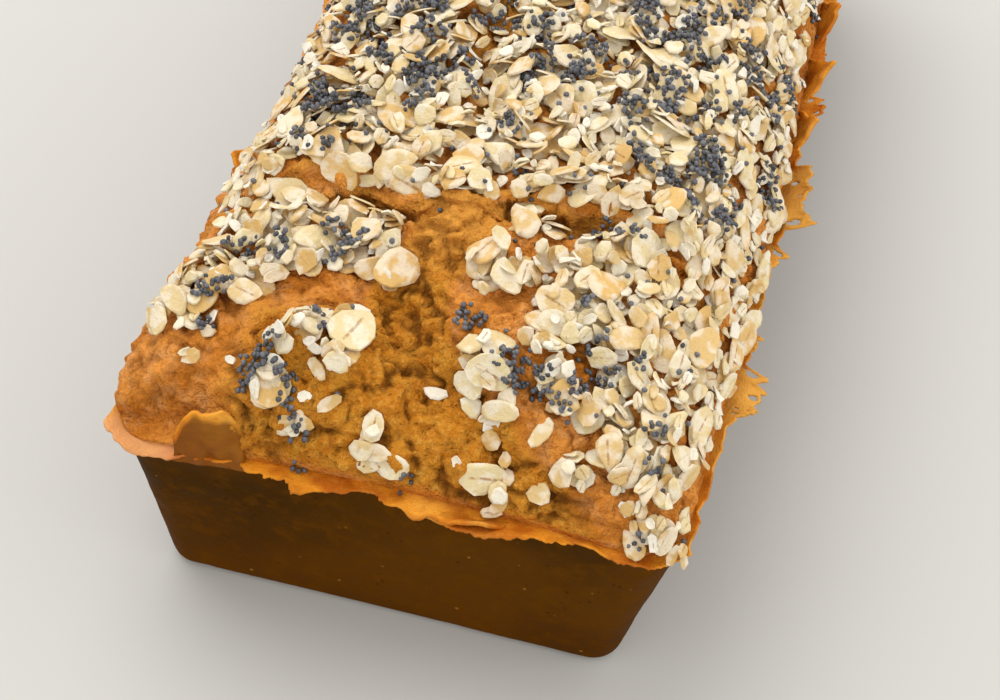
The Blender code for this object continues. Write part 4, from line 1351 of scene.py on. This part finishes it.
def build_toppings(form, settings, colours):
    """Oat flakes, broken flakes, floury bits and poppy seeds, laid down in turns so that they overlap."""
    random = np.random.default_rng(settings.seed)
    field = RestingField(form)
    length, width = settings.flake_length / MM, settings.seed_width / MM
    whole, broken, bits, seeds, heaps = [], [], [], [], []
    for x, y in chosen_places(form, random, settings.seed_heaps, seed_share, 2.5):
        if y > -52.0:
            heaps.append((x, y, int(random.integers(6, 30))))
    for layer in range(LAYERS):
        for x, y, count in heaps[layer :: 2 * LAYERS]:
            seeds += drop_heap(field, random, x, y, count, width, SEED_SHAPES)
        for sites, wanted, kind in (
            (whole, settings.whole_flakes, WHOLE_FLAKE),
            (broken, settings.broken_flakes, BROKEN_FLAKE),
            (bits, settings.floury_bits, FLOURY_BIT),
        ):
            places = chosen_places(form, random, wanted // LAYERS, flake_share, 0.8)
            sites += lay_flakes(field, random, places, length, kind)
    for x, y, long, heading in LARGE_FLAKES:
        half_long = 0.5 * long
        half_short = half_long * random.uniform(0.74, 0.9)
        size = (half_long, half_short, LARGE_THICKNESS)
        whole += lay_flake(field, random, x, y, np.radians(heading), size, WHOLE_SHAPES, LARGE_LEAN)
    for x, y, count in SEED_HEAPS:
        seeds += drop_heap(field, random, x, y, count, width, SEED_SHAPES)
    for layer in range(LAYERS):
        for x, y, count in heaps[layer + LAYERS :: 2 * LAYERS]:
            x, y = field.lowest_near(x, y, 3.0, random)
            seeds += drop_heap(field, random, x, y, count, width, SEED_SHAPES)
    for x, y in chosen_places(form, random, settings.loose_seeds, seed_share, 1.0):
        x, y = field.lowest_near(x, y, 1.4, random)
        seeds += drop_seed(field, random, x, y, width, SEED_SHAPES)
    cream = flake_material(colours, "oat_flake", colours.flake, colours.flake_toasted)
    toasted = flake_material(colours, "broken_flake", colours.flake, scaled(colours.flake_toasted, 0.92))
    floury = flake_material(colours, "floury_bit", colours.flour, colours.flake)
    shapes = [flake_variant("flake_%02d" % k, random, 15, k % 3, 0.05) for k in range(WHOLE_SHAPES)]
    scatter("oat_flakes", whole, shapes, cream, 1)
    shapes = [flake_variant("broken_%02d" % k, random, 9, 1 + k % 3, 0.1) for k in range(BROKEN_SHAPES)]
    scatter("broken_flakes", broken, shapes, toasted, 2)
    shapes = [flake_variant("bit_%02d" % k, random, 8, k % 3, 0.16) for k in range(BIT_SHAPES)]
    scatter("floury_bits", bits, shapes, floury, 3)
    shapes = [seed_variant("poppy_%d" % k, random) for k in range(SEED_SHAPES)]
    scatter("poppy_seeds", seeds, shapes, poppy_material(colours), 4)


# Stage

CAMERA_AZIMUTH = 12.357
CAMERA_ELEVATION = 51.350
CAMERA_ROLL = 2.850
CAMERA_TARGET = (13.451, -84.270, 60.0)
CAMERA_DISTANCE = 358.069
CAMERA_FOCAL_PIXELS = 1905.445
PHOTO_WIDTH = 1000.0
SENSOR_WIDTH = 36.0
FLOOR_SIZE = 12.0
LIGHTS = (
    ("key", (-0.30, 0.24, 0.74), 0.80, 3.9, (1.0, 0.985, 0.955)),
    ("fill", (0.15, -0.80, 0.55), 0.60, 0.6, (1.0, 0.99, 0.97)),
    ("side", (0.70, -0.05, 0.40), 0.50, 1.1, (1.0, 0.99, 0.97)),
)


def camera_pose():
    """The camera's place and turn at the photo's viewing angle."""
    azimuth, elevation, roll = np.radians([CAMERA_AZIMUTH, CAMERA_ELEVATION, CAMERA_ROLL])
    back = Vector(
        (np.sin(azimuth) * np.cos(elevation), -np.cos(azimuth) * np.cos(elevation), np.sin(elevation))
    )
    level = Vector((0.0, 0.0, 1.0)).cross(back).normalized()
    upright = back.cross(level)
    right = np.cos(roll) * level + np.sin(roll) * upright
    up = np.cos(roll) * upright - np.sin(roll) * level
    place = (Vector(CAMERA_TARGET) + back * CAMERA_DISTANCE + Vector(SHIFT)) * MM
    pose = Matrix((right, up, back)).transposed().to_4x4()
    pose.translation = place
    return pose


def build_stage():
    """A plain pale floor, soft studio lights and the camera."""
    scene = bpy.context.scene
    bpy.ops.mesh.primitive_plane_add(size=FLOOR_SIZE)
    floor = bpy.context.object
    floor.name = "floor"
    graph = Graph("floor")
    floor.data.materials.append(graph.surface((*paint(196, 195, 192), 1.0), 0.9, specular=0.2))
    for name, place, size, power, colour in LIGHTS:
        light = bpy.data.lights.new(name, "AREA")
        light.shape = "DISK"
        light.size = size
        light.energy = power
        light.color = colour
        lamp = bpy.data.objects.new(name, light)
        lamp.location = place
        lamp.rotation_euler = (Vector((0.0, 0.0, 0.04)) - Vector(place)).to_track_quat("-Z", "Y").to_euler()
        scene.collection.objects.link(lamp)
    world = bpy.data.worlds.new("studio")
    world.use_nodes = True
    backdrop = world.node_tree.nodes["Background"]
    backdrop.inputs["Color"].default_value = (*paint(236, 234, 230), 1.0)
    backdrop.inputs["Strength"].default_value = 1.18
    scene.world = world
    camera = bpy.data.cameras.new("camera")
    camera.sensor_width = SENSOR_WIDTH
    camera.lens = CAMERA_FOCAL_PIXELS / PHOTO_WIDTH * SENSOR_WIDTH
    camera.clip_start = 0.01
    viewer = bpy.data.objects.new("camera", camera)
    viewer.matrix_world = camera_pose()
    scene.collection.objects.link(viewer)
    scene.camera = viewer
    scene.view_settings.view_transform = "Standard"


# Operators, panel and registration


def loaf_form(context):
    return LoafForm(context.scene.tin_loaf_sizes)


class TINLOAF_OT_top(bpy.types.Operator):
    """Make the dome with its whole crust and torn crumb"""

    bl_idname = "tin_loaf.top"
    bl_label = "Top crust"

    def execute(self, context):
        build_top(loaf_form(context), top_material(context.scene.tin_loaf_colours))
        return {"FINISHED"}


class TINLOAF_OT_sides(bpy.types.Operator):
    """Make the tapered sides and the base"""

    bl_idname = "tin_loaf.sides"
    bl_label = "Side crust"

    def execute(self, context):
        build_sides(loaf_form(context), side_material(context.scene.tin_loaf_colours))
        return {"FINISHED"}


class TINLOAF_OT_rim(bpy.types.Operator):
    """Make the thin ragged crust and the flaps at the rim"""

    bl_idname = "tin_loaf.rim"
    bl_label = "Rim crust"

    def execute(self, context):
        material = film_material(context.scene.tin_loaf_colours)
        form = loaf_form(context)
        build_film(form, material)
        build_flaps(form, material)
        return {"FINISHED"}


class TINLOAF_OT_toppings(bpy.types.Operator):
    """Scatter the oat flakes and poppy seeds over the top"""

    bl_idname = "tin_loaf.toppings"
    bl_label = "Oats and poppy seeds"

    def execute(self, context):
        scene = context.scene
        build_toppings(loaf_form(context), scene.tin_loaf_toppings, scene.tin_loaf_colours)
        return {"FINISHED"}


class TINLOAF_OT_stage(bpy.types.Operator):
    """Make the floor, the lights and the camera"""

    bl_idname = "tin_loaf.stage"
    bl_label = "Stage"

    def execute(self, context):
        build_stage()
        return {"FINISHED"}


class TINLOAF_PT_panel(bpy.types.Panel):
    """Sizes, colours and build steps of the loaf"""

    bl_idname = "TINLOAF_PT_panel"
    bl_label = "Tin Loaf"
    bl_space_type = "VIEW_3D"
    bl_region_type = "UI"
    bl_category = "Tin Loaf"

    def draw(self, context):
        scene = context.scene
        for group in (scene.tin_loaf_sizes, scene.tin_loaf_toppings, scene.tin_loaf_colours):
            box = self.layout.box()
            for name in group.bl_rna.properties.keys():
                if name not in ("rna_type", "name"):
                    box.prop(group, name)
        for operator in OPERATORS:
            self.layout.operator(operator.bl_idname)


GROUPS = (LoafSizes, ToppingSettings, LoafColours)
OPERATORS = (TINLOAF_OT_stage, TINLOAF_OT_top, TINLOAF_OT_sides, TINLOAF_OT_rim, TINLOAF_OT_toppings)
CLASSES = (*GROUPS, *OPERATORS, TINLOAF_PT_panel)


def register():
    for each in CLASSES:
        bpy.utils.register_class(each)
    bpy.types.Scene.tin_loaf_sizes = PointerProperty(type=LoafSizes)
    bpy.types.Scene.tin_loaf_toppings = PointerProperty(type=ToppingSettings)
    bpy.types.Scene.tin_loaf_colours = PointerProperty(type=LoafColours)


def unregister():
    del bpy.types.Scene.tin_loaf_colours
    del bpy.types.Scene.tin_loaf_toppings
    del bpy.types.Scene.tin_loaf_sizes
    for each in reversed(CLASSES):
        bpy.utils.unregister_class(each)


def main():
    register()
    bpy.ops.tin_loaf.stage()
    bpy.ops.tin_loaf.top()
    bpy.ops.tin_loaf.sides()
    bpy.ops.tin_loaf.rim()
    bpy.ops.tin_loaf.toppings()


if __name__ == "__main__":
    main()
